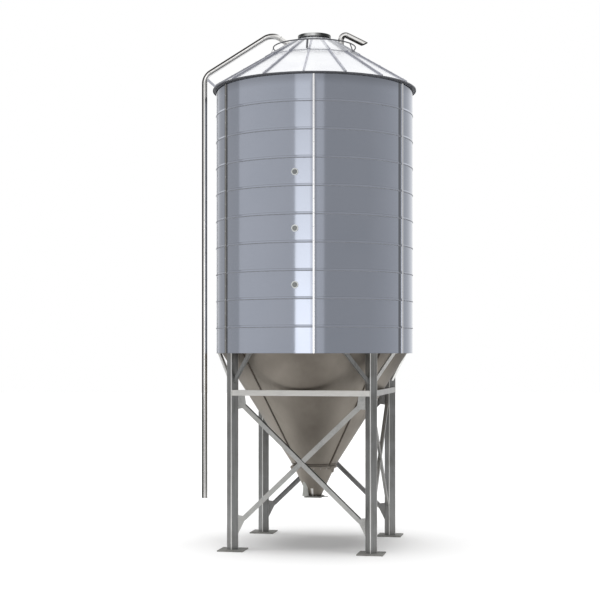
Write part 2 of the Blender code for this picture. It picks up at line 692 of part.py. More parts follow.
def legs(parent, surface):
    centre = (0, -LEG_RADIUS)
    post = prism(rounded_square(LEG_WIDTH, LEG_ARRIS, centre, 0.010), (0, 0, LEG_TOP - 0.010), "leg")
    corner = FOOT_WIDTH / math.sqrt(2)
    square = ((corner, 0), (0, corner), (-corner, 0), (0, -corner))
    foot = prism([Vector((x, y - LEG_RADIUS, 0)) for x, y in square], (0, 0, FOOT_THICKNESS), "foot")
    steps = [("UNION", foot)]

    end = polar(STRUT_END_RADIUS, STRUT_SPREAD)
    plate_bottom = LEG_TOP - STRUT_PLATE
    rise = plate_bottom - STRUT_LOWER
    run = end.x - 0.05
    length = math.hypot(rise, run)
    tall = STRUT_DEPTH * length / run / 2
    wide = STRUT_DEPTH * length / rise / 2
    thick = STRUT_THICKNESS / 2
    for side in (-1, 1):
        corners = ((0.05, STRUT_LOWER - tall), (0.05, STRUT_LOWER + tall),
                   (end.x - wide, plate_bottom + 0.002), (end.x + wide, plate_bottom + 0.002))
        outline = []
        for x, z in corners:
            y = -LEG_RADIUS + (end.y + LEG_RADIUS) * (x - 0.05) / run
            outline.append(Vector((side * x, y - thick, z)))
        steps.append(("UNION", prism(outline, (0, 2 * thick, 0), "strut")))
        reach = end.x + wide + 0.008
        near = end.x - wide - 0.008
        low_x, high_x = sorted((side * near, side * reach))
        steps.append(("UNION", block((low_x, end.y - 0.042, plate_bottom),
                                     (high_x, end.y + 0.034, LEG_TOP), "strut_plate")))

    # The top is cut back where the hopper passes
    cone_top = hopper_radius(LEG_TOP) + 2 * GAP
    back = -LEG_RADIUS + LEG_WIDTH / 2
    drop = 0.06
    wedge = [Vector((-0.1, -cone_top, LEG_TOP + 0.0001)),
             Vector((-0.1, -cone_top + drop / HOPPER_SLOPE, LEG_TOP - drop)),
             Vector((-0.1, back + 0.05, LEG_TOP - drop)), Vector((-0.1, back + 0.05, LEG_TOP + 0.02)),
             Vector((-0.1, -cone_top, LEG_TOP + 0.02))]
    steps.append(("DIFFERENCE", prism(wedge, (0.2, 0, 0), "wedge")))
    leg = combined(post, steps)
    leg.name = "leg"
    for name, azimuth in LEG_AZIMUTHS.items():
        place(name, leg, surface, parent, azimuth, 30)


def beams(parent, surface):
    # A beam passes just outside the hopper, its ends mitred to the faces of two legs
    inner = BEAM_INNER_FACE
    outer = BEAM_INNER_FACE + BEAM_WIDTH
    back = LEG_WIDTH / math.sqrt(2) + GAP * math.sqrt(2)
    outline = ((inner - back, -inner), (back - inner, -inner), (back - outer, -outer),
               (outer - back, -outer))
    points = [Vector((x, y, BEAM_BOTTOM)) for x, y in outline]
    beam = prism(points, (0, 0, BEAM_TOP - BEAM_BOTTOM), "beam")
    for side, azimuth in BRACED_SIDES.items():
        place(f"beam_{side}", beam, surface, parent, azimuth)


def brace_bar(lean, face):
    # An angle bar along one diagonal, its flange behind the upper edge
    along = Vector((1, 0, lean * BRACE_RISE)).normalized()
    across = Vector((-along.z, 0, along.x))
    start = Vector((-BRACE_REACH, -LEG_OFFSET, BRACE_MIDDLE - lean * BRACE_RISE * BRACE_REACH))
    half = BRACE_WIDTH / 2
    thick = BRACE_THICKNESS
    section = ((-half, face), (half, face), (half, face - BRACE_FLANGE),
               (half - thick, face - BRACE_FLANGE), (half - thick, face - thick), (-half, face - thick))
    points = [start + across * v + Vector((0, -out, 0)) for v, out in section]
    return prism(points, along * (2 * BRACE_REACH / along.x), "brace_bar")


def braces(parent, surface):
    edge = LEG_OFFSET - ARRIS_REACH - GAP
    steps = [("UNION", brace_bar(1, 0.004))]
    top = ((edge, BEAM_BOTTOM - GAP), (0.985, BEAM_BOTTOM - GAP), (0.965, 2.505), (0.995, 2.445),
           (edge, 2.430))
    bottom = ((edge, 0.30), (edge, 0.605), (1.005, 0.595), (0.968, 0.535), (1.0, 0.50))
    for outline in (top, bottom):
        for side in (-1, 1):
            points = [Vector((side * x, -LEG_OFFSET - GUSSET_THICKNESS / 2, z)) for x, z in outline]
            plate = prism(points, (0, GUSSET_THICKNESS, 0), "gusset")
            steps.append(("UNION", plate))
    brace = combined(brace_bar(-1, 0.012), steps)
    brace.name = "cross_brace"
    for side, azimuth in BRACED_SIDES.items():
        place(f"cross_brace_{side}", brace, surface, parent, azimuth)


for old in list(bpy.data.objects):
    bpy.data.objects.remove(old)

axis = bpy.data.objects.new("silo_axis", None)
bpy.context.scene.collection.objects.link(axis)
axis.location.x = AXIS_X

wall_steel = finish("wall_steel", (0.40, 0.43, 0.48), 0.30, 1.0)
strip_steel = finish("strip_steel", (0.62, 0.63, 0.66), 0.30, 1.0)
roof_steel = finish("roof_steel", (0.80, 0.81, 0.84), 0.35, 1.0)
dark_paint = finish("dark_paint", (0.07, 0.07, 0.08), 0.45, 0.0)
pipe_steel = finish("pipe_steel", (0.66, 0.66, 0.64), 0.18, 1.0)
hopper_steel = finish("hopper_steel", (0.52, 0.49, 0.44), 0.32, 1.0)
leg_paint = finish("leg_paint", (0.25, 0.26, 0.28), 0.50, 0.0)
brace_steel = finish("brace_steel", (0.52, 0.53, 0.55), 0.40, 1.0)
port_plastic = finish("port_plastic", (0.47, 0.50, 0.46), 0.50, 0.0)
glass_frame = finish("glass_frame", (0.66, 0.68, 0.68), 0.35, 0.0)

fill_route = fill_pipe_route()
fill_hole_mesh = cylinder(fill_route[-2][0], fill_route[-1][0] + fill_route[-1][1] * 0.05,
                          FILL_PIPE_RADIUS + 2 * GAP, "fill_hole", 32)
vent_hole_mesh = cylinder((VENT_AXIS, 0, VENT_BOTTOM - 0.05), (VENT_AXIS, 0, VENT_BEND_BOTTOM),
                          VENT_RADIUS + 2 * GAP, "vent_hole", 32)

wall(axis, wall_steel, strip_steel)
eave_ring(axis, dark_paint)
roof(axis, roof_steel, fill_hole_mesh, vent_hole_mesh)
roof_top_pieces(axis, dark_paint, pipe_steel)
pipes(axis, pipe_steel, pipe_steel)
hopper(axis, hopper_steel)
joint_ring(axis, hopper_steel)
spout(axis, hopper_steel)
side_port(axis, port_plastic)
outlet(axis, hopper_steel, brace_steel)
sight_glasses(axis, glass_frame)
legs(axis, leg_paint)
beams(axis, brace_steel)
braces(axis, brace_steel)
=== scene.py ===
import math

import bmesh
import bpy
from mathutils import Matrix, Vector


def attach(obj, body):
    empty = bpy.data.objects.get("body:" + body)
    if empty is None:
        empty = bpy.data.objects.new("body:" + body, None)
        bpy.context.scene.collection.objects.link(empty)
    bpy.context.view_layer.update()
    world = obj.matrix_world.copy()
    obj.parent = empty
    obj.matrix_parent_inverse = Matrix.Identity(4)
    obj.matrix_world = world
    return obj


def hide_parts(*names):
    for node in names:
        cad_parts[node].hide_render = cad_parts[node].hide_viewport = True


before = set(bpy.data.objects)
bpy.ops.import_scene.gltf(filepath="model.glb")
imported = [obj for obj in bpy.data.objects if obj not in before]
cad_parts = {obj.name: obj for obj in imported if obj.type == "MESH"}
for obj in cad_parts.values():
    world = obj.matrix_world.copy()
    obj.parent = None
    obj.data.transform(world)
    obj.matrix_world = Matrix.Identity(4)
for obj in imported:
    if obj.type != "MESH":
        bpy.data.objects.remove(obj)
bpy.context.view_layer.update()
print("silo: frame loaded")

axisX = 0.1335  # the bin's own axis stands beside the origin
siloAxis = Vector((axisX, 0.0, 0.0))
upright = Vector((0, 0, 1))


# helpers for places, selections and modifiers
def outward(azimuth):  # azimuth counts from the front, towards the right
    angle = math.radians(azimuth)
    return Vector((math.sin(angle), -math.cos(angle), 0.0))


def onSilo(radius, azimuth, z=0.0):
    return siloAxis + outward(azimuth) * radius + upright * z


def allRound(count, first):
    return [first + k * 360 / count for k in range(count)]


def turnAbout(azimuth):
    return (Matrix.Translation(siloAxis) @ Matrix.Rotation(math.radians(azimuth), 4, "Z")
            @ Matrix.Translation(-siloAxis))


def clearSelection():
    if bpy.context.object and bpy.context.object.mode == "EDIT":
        bpy.ops.object.mode_set(mode="OBJECT")
    bpy.ops.object.select_all(action="DESELECT")


def pick(obj):
    clearSelection()
    obj.select_set(True)
    bpy.context.view_layer.objects.active = obj


def openEdit(obj):
    pick(obj)
    bpy.ops.object.mode_set(mode="EDIT")
    bpy.ops.mesh.select_mode(type="VERT")
    bpy.ops.mesh.select_all(action="SELECT")


def closeEdit():
    bpy.ops.object.mode_set(mode="OBJECT")


def selectPoints(test):  # in edit mode, by place
    bpy.ops.mesh.select_mode(type="VERT")
    bpy.ops.mesh.select_all(action="DESELECT")
    mesh = bpy.context.object.data
    bm = bmesh.from_edit_mesh(mesh)
    for vert in bm.verts:
        vert.select_set(test(vert.co))
    bm.select_flush(True)
    bmesh.update_edit_mesh(mesh)


def selectFaces(test):  # in edit mode, by middle and normal
    bpy.ops.mesh.select_mode(type="FACE")
    bpy.ops.mesh.select_all(action="DESELECT")
    mesh = bpy.context.object.data
    bm = bmesh.from_edit_mesh(mesh)
    for face in bm.faces:
        face.select_set(test(face.calc_center_median(), face.normal))
    bmesh.update_edit_mesh(mesh)


def closeShape():  # a spun or pushed shape is merged and its faces turned outwards
    bpy.ops.mesh.select_all(action="SELECT")
    bpy.ops.mesh.remove_doubles(threshold=0.00002)
    bpy.ops.mesh.normals_make_consistent(inside=False)
    closeEdit()


def rename(obj, name):
    obj.name = name
    obj.data.name = name
    return obj


def applyModifiers(obj):
    pick(obj)
    for modifier in list(obj.modifiers):
        bpy.ops.object.modifier_apply(modifier=modifier.name)


def settle(obj):  # the place goes into the mesh
    pick(obj)
    bpy.ops.object.transform_apply(location=True, rotation=True, scale=True)


def smooth(obj, angle=30):
    pick(obj)
    bpy.ops.object.shade_smooth_by_angle(angle=math.radians(angle))


def easeEdges(obj, width, segments=2, limit=30):
    ease = obj.modifiers.new("eased edges", "BEVEL")
    ease.width = width
    ease.segments = segments
    ease.limit_method = "ANGLE"
    ease.angle_limit = math.radians(limit)
    applyModifiers(obj)
    smooth(obj, limit)
    flats = obj.modifiers.new("flat faces", "WEIGHTED_NORMAL")  # beside the eased edges
    flats.weight = 100
    flats.keep_sharp = True
    applyModifiers(obj)
    return obj


def thicken(obj, thickness):  # inwards
    shell = obj.modifiers.new("sheet", "SOLIDIFY")
    shell.thickness = thickness
    shell.offset = -1.0
    shell.use_even_offset = True
    applyModifiers(obj)


def dress(obj, surface, body="silo", standsFor=()):
    obj.data.materials.clear()
    obj.data.materials.append(surface)
    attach(obj, body)
    if standsFor:
        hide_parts(*standsFor)
    return obj


def dressFaces(obj, surface, test):  # a second surface on the faces that pass, by middle and normal
    obj.data.materials.append(surface)
    last = len(obj.data.materials) - 1
    for face in obj.data.polygons:
        if test(face.center, face.normal):
            face.material_index = last


def copyOf(obj, name, matrix=None):
    twin = obj.copy()
    twin.data = obj.data.copy()
    rename(twin, name)
    bpy.context.scene.collection.objects.link(twin)
    if matrix is not None:
        twin.data.transform(matrix)
    return twin


def joined(pieces, name):
    clearSelection()
    for piece in pieces:
        piece.select_set(True)
    bpy.context.view_layer.objects.active = pieces[0]
    if len(pieces) > 1:
        bpy.ops.object.join()
    return rename(bpy.context.view_layer.objects.active, name)


def spread(pattern, name, places):
    # one fastener copied to (point, outward direction) places, each turned on, and joined
    copies = []
    for index, (point, direction) in enumerate(places):
        turn = direction.to_track_quat("Z", "Y").to_matrix().to_4x4()
        spin = Matrix.Rotation(math.radians(23.0 * index % 60), 4, "Z")
        copies.append(copyOf(pattern, name, Matrix.Translation(point) @ turn @ spin))
    return joined(copies, name)


def lathe(name, profile, steps, sweep=360.0, start=0.0, closed=False, centre=None):
    # the outline is drawn point by point, then spun about an upright axis
    centre = siloAxis if centre is None else Vector(centre)
    points = [centre + outward(start) * radius + upright * z for radius, z in profile]
    clearSelection()
    bpy.ops.mesh.primitive_plane_add(size=0.002, location=(0, 0, 0))
    obj = rename(bpy.context.object, name)
    openEdit(obj)
    bpy.ops.mesh.merge(type="CENTER")
    bpy.ops.transform.translate(value=points[0])
    for before, after in zip(points, points[1:]):
        bpy.ops.mesh.extrude_region_move(TRANSFORM_OT_translate={"value": after - before})
    if closed:
        ends = (points[0], points[-1])
        selectPoints(lambda co: min((co - end).length for end in ends) < 1e-5)
        bpy.ops.mesh.edge_face_add()
    bpy.ops.mesh.select_all(action="SELECT")
    bpy.ops.mesh.spin(steps=steps, angle=-math.radians(sweep), center=centre, axis=upright)
    closeShape()
    return obj


def faceOutward(obj, centre=None, below=100.0):  # by the largest face below a height
    centre = siloAxis if centre is None else Vector(centre)
    face = max((p for p in obj.data.polygons if p.center.z < below), key=lambda p: p.area)
    away = face.center - centre
    away.z = 0
    if face.normal.dot(away) < 0:
        openEdit(obj)
        bpy.ops.mesh.flip_normals()
        closeEdit()


def latheSheet(name, profile, steps, thickness, angle, sweep=360.0, start=0.0, centre=None):
    shell = lathe(name, profile, steps, sweep, start, centre=centre)
    faceOutward(shell, centre)
    thicken(shell, thickness)
    smooth(shell, angle)
    return shell


def pipeRun(name, radius, start, heading, runs, sides=48):
    # an open ring pushed along straights, round bends and over weld ridges
    heading = Vector(heading).normalized()
    centre = Vector(start)
    clearSelection()
    bpy.ops.mesh.primitive_circle_add(vertices=sides, radius=radius, fill_type="NOTHING",
                                      location=start,
                                      rotation=heading.to_track_quat("Z", "Y").to_euler())
    obj = rename(bpy.context.object, name)
    settle(obj)
    openEdit(obj)
    for run in runs:
        if run[0] == "bend":
            axis, bendRadius, degrees, steps = run[1:]
            pivot = centre + Vector(axis).cross(heading) * bendRadius
            bpy.ops.mesh.spin(steps=steps, angle=-math.radians(degrees), center=pivot, axis=axis)
            turn = Matrix.Rotation(math.radians(degrees), 3, axis)
            centre = pivot + turn @ (centre - pivot)
            heading = turn @ heading
            continue
        for length, before, after in run[1]:
            bpy.ops.mesh.extrude_edges_move(TRANSFORM_OT_translate={"value": heading * length})
            centre = centre + heading * length
            if before != after:
                bpy.ops.transform.resize(value=(after / before,) * 3, center_override=centre)
    closeShape()
    return obj, centre, heading


def straight(length, radius=1.0, start=None):
    return ("push", [(length, start or radius, radius)])


ridgeSteps = (0.004, 0.0012, 0.0014, 0.0024, 0.0014, 0.0012, 0.004)  # along the pipe
ridgeLength = sum(ridgeSteps)


def weldRidge(radius, height):
    low, high = radius + height * 0.75, radius + height
    radii = (radius, radius, low, high, high, low, radius, radius)
    return ("push", list(zip(ridgeSteps, radii, radii[1:])))


def refined(node, name, bevel, segments=2, limit=30, flatten=0.4):
    # a merged copy of a CAD node with its edges eased
    obj = copyOf(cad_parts[node], name)
    for key in list(obj.keys()):
        del obj[key]
    obj.parent = None
    openEdit(obj)
    bpy.ops.mesh.remove_doubles(threshold=0.00005)
    bpy.ops.mesh.dissolve_limited(angle_limit=math.radians(flatten))
    closeEdit()
    if bevel:
        return easeEdges(obj, bevel, segments, limit)
    smooth(obj, limit)
    return obj


def carried(node, name, surface, slotName, *easing, body="silo"):
    return dress(refined(node, name, *easing), surface, body, [node])


# shader helpers
def addNode(tree, kind, **values):
    node = tree.nodes.new(kind)
    for key, value in values.items():
        if key in node.inputs:
            node.inputs[key].default_value = value
        else:
            setattr(node, key, value)
    return node


def feed(tree, socket, value):
    if isinstance(value, bpy.types.NodeSocket):
        tree.links.new(value, socket)
    elif isinstance(value, tuple) and len(value) == 3 and socket.type == "RGBA":
        socket.default_value = (*value, 1.0)
    else:
        socket.default_value = value


def calc(tree, operation, *values, clamp=False):
    node = addNode(tree, "ShaderNodeMath", operation=operation, use_clamp=clamp)
    for socket, value in zip(node.inputs, values):
        feed(tree, socket, value)
    return node.outputs[0]


def times(tree, first, second):
    return calc(tree, "MULTIPLY", first, second)


def vectorCalc(tree, operation, *values):
    node = addNode(tree, "ShaderNodeVectorMath", operation=operation)
    for socket, value in zip(node.inputs, values):
        feed(tree, socket, value)
    return node.outputs[0]


def fade(tree, value, low, high, start=0.0, end=1.0):  # a smooth step between two levels
    node = addNode(tree, "ShaderNodeMapRange", interpolation_type="SMOOTHSTEP")
    for socket, given in zip(node.inputs, (value, low, high, start, end)):
        feed(tree, socket, given)
    return node.outputs[0]


def ramp(tree, source, stops):
    node = addNode(tree, "ShaderNodeValToRGB")
    elements = node.color_ramp.elements
    while len(elements) < len(stops):
        elements.new(0.5)
    for element, (place, value) in zip(elements, stops):
        element.position = place
        element.color = (value, value, value, 1.0)
    tree.links.new(source, node.inputs[0])
    return node.outputs[0]


def blend(tree, factor, first, second):
    node = addNode(tree, "ShaderNodeMix", data_type="RGBA")
    for index, value in {0: factor, 6: first, 7: second}.items():  # of the colour mix
        feed(tree, node.inputs[index], value)
    return node.outputs[2]


def noise(tree, vector, scale, detail=3.0, roughness=0.5):
    node = addNode(tree, "ShaderNodeTexNoise", Detail=detail, Roughness=roughness)
    feed(tree, node.inputs["Vector"], vector)
    feed(tree, node.inputs["Scale"], scale)
    return node.outputs[0]


def polar(tree, vector):  # azimuth in radians from the front, and height
    split = addNode(tree, "ShaderNodeSeparateXYZ")
    feed(tree, split.inputs[0], vector)
    east, north, height = split.outputs
    return calc(tree, "ARCTAN2", east, times(tree, north, -1.0)), height


def offNearest(tree, count, shift=0.0):  # how far a count is from a whole number, -0.5 to 0.5
    return calc(tree, "SUBTRACT", calc(tree, "FRACT", calc(tree, "ADD", count, 20.5 + shift)), 0.5)


def newGroup(name, inputs, *outputs):  # takes (label, kind, default), puts out numbers
    group = bpy.data.node_groups.new(name, "ShaderNodeTree")
    for label, kind, default in inputs:
        socket = group.interface.new_socket(name=label, in_out="INPUT",
                                            socket_type="NodeSocket" + kind)
        if default is not None:
            socket.default_value = default
    for label in outputs:
        group.interface.new_socket(name=label, in_out="OUTPUT", socket_type="NodeSocketFloat")
    given = group.nodes.new("NodeGroupInput").outputs
    return group, given, group.nodes.new("NodeGroupOutput").inputs


def useGroup(tree, group, values):
    node = tree.nodes.new("ShaderNodeGroup")
    node.node_tree = group
    for key, value in values.items():
        feed(tree, node.inputs[key], value)
    return node.outputs


def makeRolledGrain():  # fine streaks of rolled or brushed metal, and slow clouds
    group, given, result = newGroup("rolledGrain", [
        ("Vector", "Vector", None), ("Stretch", "Vector", (60.0, 60.0, 2.0)),
        ("Cloud Scale", "Float", 1.7)], "Grain", "Cloud")
    stretched = vectorCalc(group, "MULTIPLY", given["Vector"], given["Stretch"])
    feed(group, result["Grain"], noise(group, stretched, 1.0, 4.0, 0.6))
    feed(group, result["Cloud"], noise(group, given["Vector"], given["Cloud Scale"]))
    return group


def makeDustFilm():  # blotches of settled dust, thicker towards the ground
    group, given, result = newGroup("dustFilm", [
        ("Vector", "Vector", None), ("Amount", "Float", 0.3), ("Size", "Float", 3.0),
        ("Ground", "Float", 0.0)], "Dust")
    blotch = noise(group, given["Vector"], given["Size"], 6.0, 0.65)
    shaped = times(group, fade(group, blotch, 0.42, 0.75), given["Amount"])
    split = addNode(group, "ShaderNodeSeparateXYZ")
    feed(group, split.inputs[0], given["Vector"])
    low = times(group, fade(group, split.outputs[2], 0.9, 0.0), given["Ground"])
    low = times(group, low, calc(group, "ADD", blotch, 0.3))
    feed(group, result["Dust"], calc(group, "ADD", shaped, low, clamp=True))
    return group


def makeEdgeWear():  # bright metal where edges are rubbed
    group, given, result = newGroup("edgeWear", [
        ("Vector", "Vector", None), ("Amount", "Float", 0.5), ("Start", "Float", 0.53)], "Wear")
    shape = addNode(group, "ShaderNodeNewGeometry").outputs["Pointiness"]
    edge = fade(group, shape, given["Start"], calc(group, "ADD", given["Start"], 0.06))
    patch = fade(group, noise(group, given["Vector"], 9.0, 5.0, 0.7), 0.38, 0.62, 0.25, 1.0)
    edge = times(group, edge, patch)
    feed(group, result["Wear"], times(group, edge, given["Amount"]))
    return group


# lengths in metres, azimuths in degrees, and levels of the noise
# the last entry lists painted dark reflections beside two strips: azimuth, half widths, amount
seamMarks = {"wobble": 0.003, "crease": 0.036, "creaseEdge": (0.007, 0.003), "runs": 0.16,
             "streaks": (34.0, 1.3), "streakLevels": (0.48, 0.72), "strips": 6, "stripAt": 10.3,
             "beside": (0.042, 0.012), "eave": (7.84, 8.05), "eaveShade": 1.1,
             "stripReflection": [(67.6, 2.0, 1.0, 1.0), (-49.9, 2.8, 2.0, 0.45)]}


def makeSeamLine(marks):
    # the sealed line of each lap with painted shade on a thin crease above it and dust runs below,
    # painted shade beside the strips and under the eave, and painted dark reflections by two strips
    group, given, result = newGroup("seamLine", [
        ("Vector", "Vector", None), ("First", "Float", 7.582), ("Pitch", "Float", 0.47),
        ("Half Width", "Float", 0.008), ("Centre", "Vector", tuple(siloAxis))],
        "Line", "Crease Shade", "Runs", "Shade", "Strip Reflection")
    angle, level = polar(group, vectorCalc(group, "SUBTRACT", given["Vector"], given["Centre"]))
    wobble = calc(group, "MULTIPLY_ADD", noise(group, given["Vector"], 3.5), marks["wobble"],
                  -marks["wobble"] / 2)
    height = calc(group, "ADD", calc(group, "SUBTRACT", level, given["First"]), wobble)
    laps = calc(group, "DIVIDE", height, given["Pitch"])
    away = times(group, offNearest(group, laps), given["Pitch"])
    feed(group, result["Line"], fade(group, calc(group, "ABSOLUTE", away), given["Half Width"],
                                     times(group, given["Half Width"], 0.7)))
    # painted shade along a thin crease at the top of each bead
    crease = calc(group, "ABSOLUTE", calc(group, "SUBTRACT", away, marks["crease"]))
    feed(group, result["Crease Shade"], fade(group, crease, *marks["creaseEdge"]))
    around = addNode(group, "ShaderNodeCombineXYZ")
    for index, (value, scale) in {0: (angle, marks["streaks"][0]),
                                  2: (level, marks["streaks"][1])}.items():
        feed(group, around.inputs[index], times(group, value, scale))
    streak = fade(group, noise(group, around.outputs[0], 1.0, 4.0, 0.6), *marks["streakLevels"])
    below = times(group, fade(group, away, -marks["runs"], 0.0),
                  calc(group, "LESS_THAN", away, 0.0))
    feed(group, result["Runs"], times(group, below, streak))
    strips = times(group, angle, marks["strips"] / math.tau)
    beside = offNearest(group, strips, -marks["stripAt"] * marks["strips"] / 360.0)
    beside = fade(group, calc(group, "ABSOLUTE", beside), *marks["beside"])
    eave = times(group, fade(group, level, *marks["eave"]), marks["eaveShade"])
    feed(group, result["Shade"], calc(group, "MAXIMUM", beside, eave, clamp=True))
    # painted dark reflections beside two of the strips
    stripReflection = 0.0
    for centre, outer, inner, amount in marks["stripReflection"]:
        off = calc(group, "ABSOLUTE", calc(group, "SUBTRACT", angle, math.radians(centre)))
        line = fade(group, off, math.radians(outer), math.radians(inner))
        stripReflection = calc(group, "MAXIMUM", stripReflection, times(group, line, amount))
    feed(group, result["Strip Reflection"], stripReflection)
    return group


# azimuths in radians, heights in metres
hopperShadeMarks = {"azimuth": 0.14, "reach": (0.62, 0.05), "low": (1.3, 2.2, 0.25, 1.0),
             "under": (2.75, 3.35, 0.0, 0.75), "patches": (0.30, 0.62, 0.75, 1.0)}


def makeHopperShade(marks):  # brown painted shade under the bin, painted dark reflection in front
    group, given, result = newGroup("hopperShade", [
        ("Vector", "Vector", None), ("Centre", "Vector", tuple(siloAxis))], "Painted Shade")
    angle, height = polar(group, vectorCalc(group, "SUBTRACT", given["Vector"], given["Centre"]))
    away = calc(group, "ABSOLUTE", calc(group, "ADD", angle, -marks["azimuth"]))
    # a painted dark reflection down the front of the hopper
    frontReflection = times(group, fade(group, away, *marks["reach"]),
                      fade(group, height, *marks["low"]))
    # and painted shade under the bin
    paintedShade = calc(group, "MAXIMUM", frontReflection, fade(group, height, *marks["under"]))
    patches = fade(group, noise(group, given["Vector"], 2.2, 4.0), *marks["patches"])
    feed(group, result["Painted Shade"], times(group, paintedShade, patches))
    return group


def makeReflectionBand():  # painted reflection: a dark or bright band along one flank of a piece
    group, given, result = newGroup("reflectionBand", [
        ("Vector", "Vector", None), ("Facing", "Vector", None),
        ("Direction", "Vector", (1.0, 0.0, 0.0)), ("Centre", "Float", 0.5),
        ("Half Width", "Float", 0.2), ("Amount", "Float", 0.8)], "Painted Reflection")
    dot = addNode(group, "ShaderNodeVectorMath", operation="DOT_PRODUCT")
    feed(group, dot.inputs[0], given["Facing"])
    feed(group, dot.inputs[1], given["Direction"])
    ragged = calc(group, "MULTIPLY_ADD", noise(group, given["Vector"], 2.5, 5.0, 0.6), 0.12, -0.06)
    turned = calc(group, "ADD", dot.outputs["Value"], ragged)
    away = calc(group, "ABSOLUTE", calc(group, "SUBTRACT", turned, given["Centre"]))
    band = fade(group, away, given["Half Width"], times(group, given["Half Width"], 0.4))
    feed(group, result["Painted Reflection"], times(group, band, given["Amount"]))
    return group


rolledGrain = makeRolledGrain()
dustFilm = makeDustFilm()
edgeWear = makeEdgeWear()
seamLine = makeSeamLine(seamMarks)
hopperShade = makeHopperShade(hopperShadeMarks)
reflectionBand = makeReflectionBand()

# what a look keeps where it says nothing else
plainLook = {"metallic": 1.0, "roughSpread": 0.08, "grain": 0.5, "clouds": 1.7, "dust": 0.1,
             "dustSize": 3.0, "ground": 0.0, "dustColor": (0.30, 0.28, 0.25), "wear": 0.0,
             "bare": (0.62, 0.62, 0.60), "paintedShade": 0.0, "seams": 0.0, "bands": ()}


def retoned(look, color, dull, light, **more):  # the same surface in other tones
    return {**look, "color": color, "dull": dull, "light": light, **more}


def metalSurface(name, given):
    look = {**plainLook, "light": given["color"], **given}
    made = bpy.data.materials.new(name)
    made.use_nodes = True
    tree = made.node_tree
    shader = tree.nodes["Principled BSDF"]
    place = addNode(tree, "ShaderNodeTexCoord").outputs["Object"]
    grain = useGroup(tree, rolledGrain, {"Vector": place, "Stretch": look["stretch"],
                                         "Cloud Scale": look["clouds"]})
    dust = useGroup(tree, dustFilm, {"Vector": place, "Amount": look["dust"],
                                     "Size": look["dustSize"], "Ground": look["ground"]})["Dust"]
    tone = blend(tree, fade(tree, grain["Cloud"], 0.35, 0.65), look["dull"], look["color"])
    streaks = fade(tree, grain["Grain"], 0.35, 0.68, 0.0, look["grain"])
    tone = blend(tree, streaks, tone, look["light"])
    if look["wear"]:
        worn = useGroup(tree, edgeWear, {"Vector": place, "Amount": look["wear"]})["Wear"]
        tone = blend(tree, worn, tone, look["bare"])
    tone = blend(tree, dust, tone, look["dustColor"])
    rough = calc(tree, "MULTIPLY_ADD", grain["Grain"], look["roughSpread"],
                 look["rough"] - look["roughSpread"] / 2)
    rough = calc(tree, "MULTIPLY_ADD", dust, 0.4, rough, clamp=True)
    metal = calc(tree, "MULTIPLY_ADD", dust, -0.5, look["metallic"], clamp=True)
    bump = addNode(tree, "ShaderNodeBump", Strength=look["bump"], Distance=0.001)
    feed(tree, bump.inputs["Height"], grain["Grain"])
    # painted shade under the bin and a painted dark reflection down the front
    if look["paintedShade"]:
        paintedShade = useGroup(tree, hopperShade, {"Vector": place})["Painted Shade"]
        tone = blend(tree, times(tree, paintedShade, look["paintedShade"]), tone, look["paintedShadeColor"])
    if look["seams"]:
        lap = useGroup(tree, seamLine, {"Vector": place, "Half Width": look["seams"]})
        runs = times(tree, lap["Runs"], look["runs"])
        # painted shade beside the strips, under the eave and along the bead creases
        shade = calc(tree, "MAXIMUM", times(tree, lap["Shade"], look["shade"]),
                     times(tree, lap["Crease Shade"], look["crease"]))
        # painted dark reflections beside two of the strips
        stripReflection = times(tree, lap["Strip Reflection"], look["stripReflection"])
        tone = blend(tree, runs, tone, look["runColor"])
        tone = blend(tree, shade, tone, look["shadeColor"])
        tone = blend(tree, stripReflection, tone, look["stripReflectionColor"])
        tone = blend(tree, lap["Line"], tone, look["seamColor"])
        rough = calc(tree, "MULTIPLY_ADD", lap["Line"], 0.3, rough, clamp=True)
        metal = calc(tree, "SUBTRACT", metal, lap["Line"], clamp=True)
    # painted reflections: dark or bright bands by which way the faces turn
    for centre, halfWidth, amount in look["bands"]:
        facing = addNode(tree, "ShaderNodeTexCoord").outputs["Normal"]
        bandReflection = useGroup(tree, reflectionBand, {
            "Vector": place, "Facing": facing, "Direction": look["bandSide"], "Centre": centre,
            "Half Width": halfWidth, "Amount": amount})["Painted Reflection"]
        tone = blend(tree, bandReflection, tone, look["bandColor"])
    feed(tree, shader.inputs["Base Color"], tone)
    feed(tree, shader.inputs["Roughness"], rough)
    feed(tree, shader.inputs["Metallic"], metal)
    feed(tree, shader.inputs["Normal"], bump.outputs[0])
    return made


# camera, floor and light
cameraView = {"distance": 24.53, "height": 3.407, "azimuth": 11.3, "aside": 0.257,
              "focal": 1372.0, "frame": 600.0, "horizon": 352.0}


def makeCamera(view):
    away, across = outward(view["azimuth"]), outward(view["azimuth"] + 90)
    lens = bpy.data.cameras.new("siloCamera")
    lens.lens = view["focal"] / view["frame"] * lens.sensor_width
    lens.shift_y = (view["horizon"] - view["frame"] / 2) / view["frame"]
    lens.clip_end = 400.0
    camera = bpy.data.objects.new("siloCamera", lens)
    bpy.context.scene.collection.objects.link(camera)
    camera.location = (siloAxis + away * view["distance"] - across * view["aside"]
                       + upright * view["height"])
    camera.rotation_euler = (math.pi / 2, 0, math.radians(view["azimuth"]))
    bpy.context.scene.camera = camera


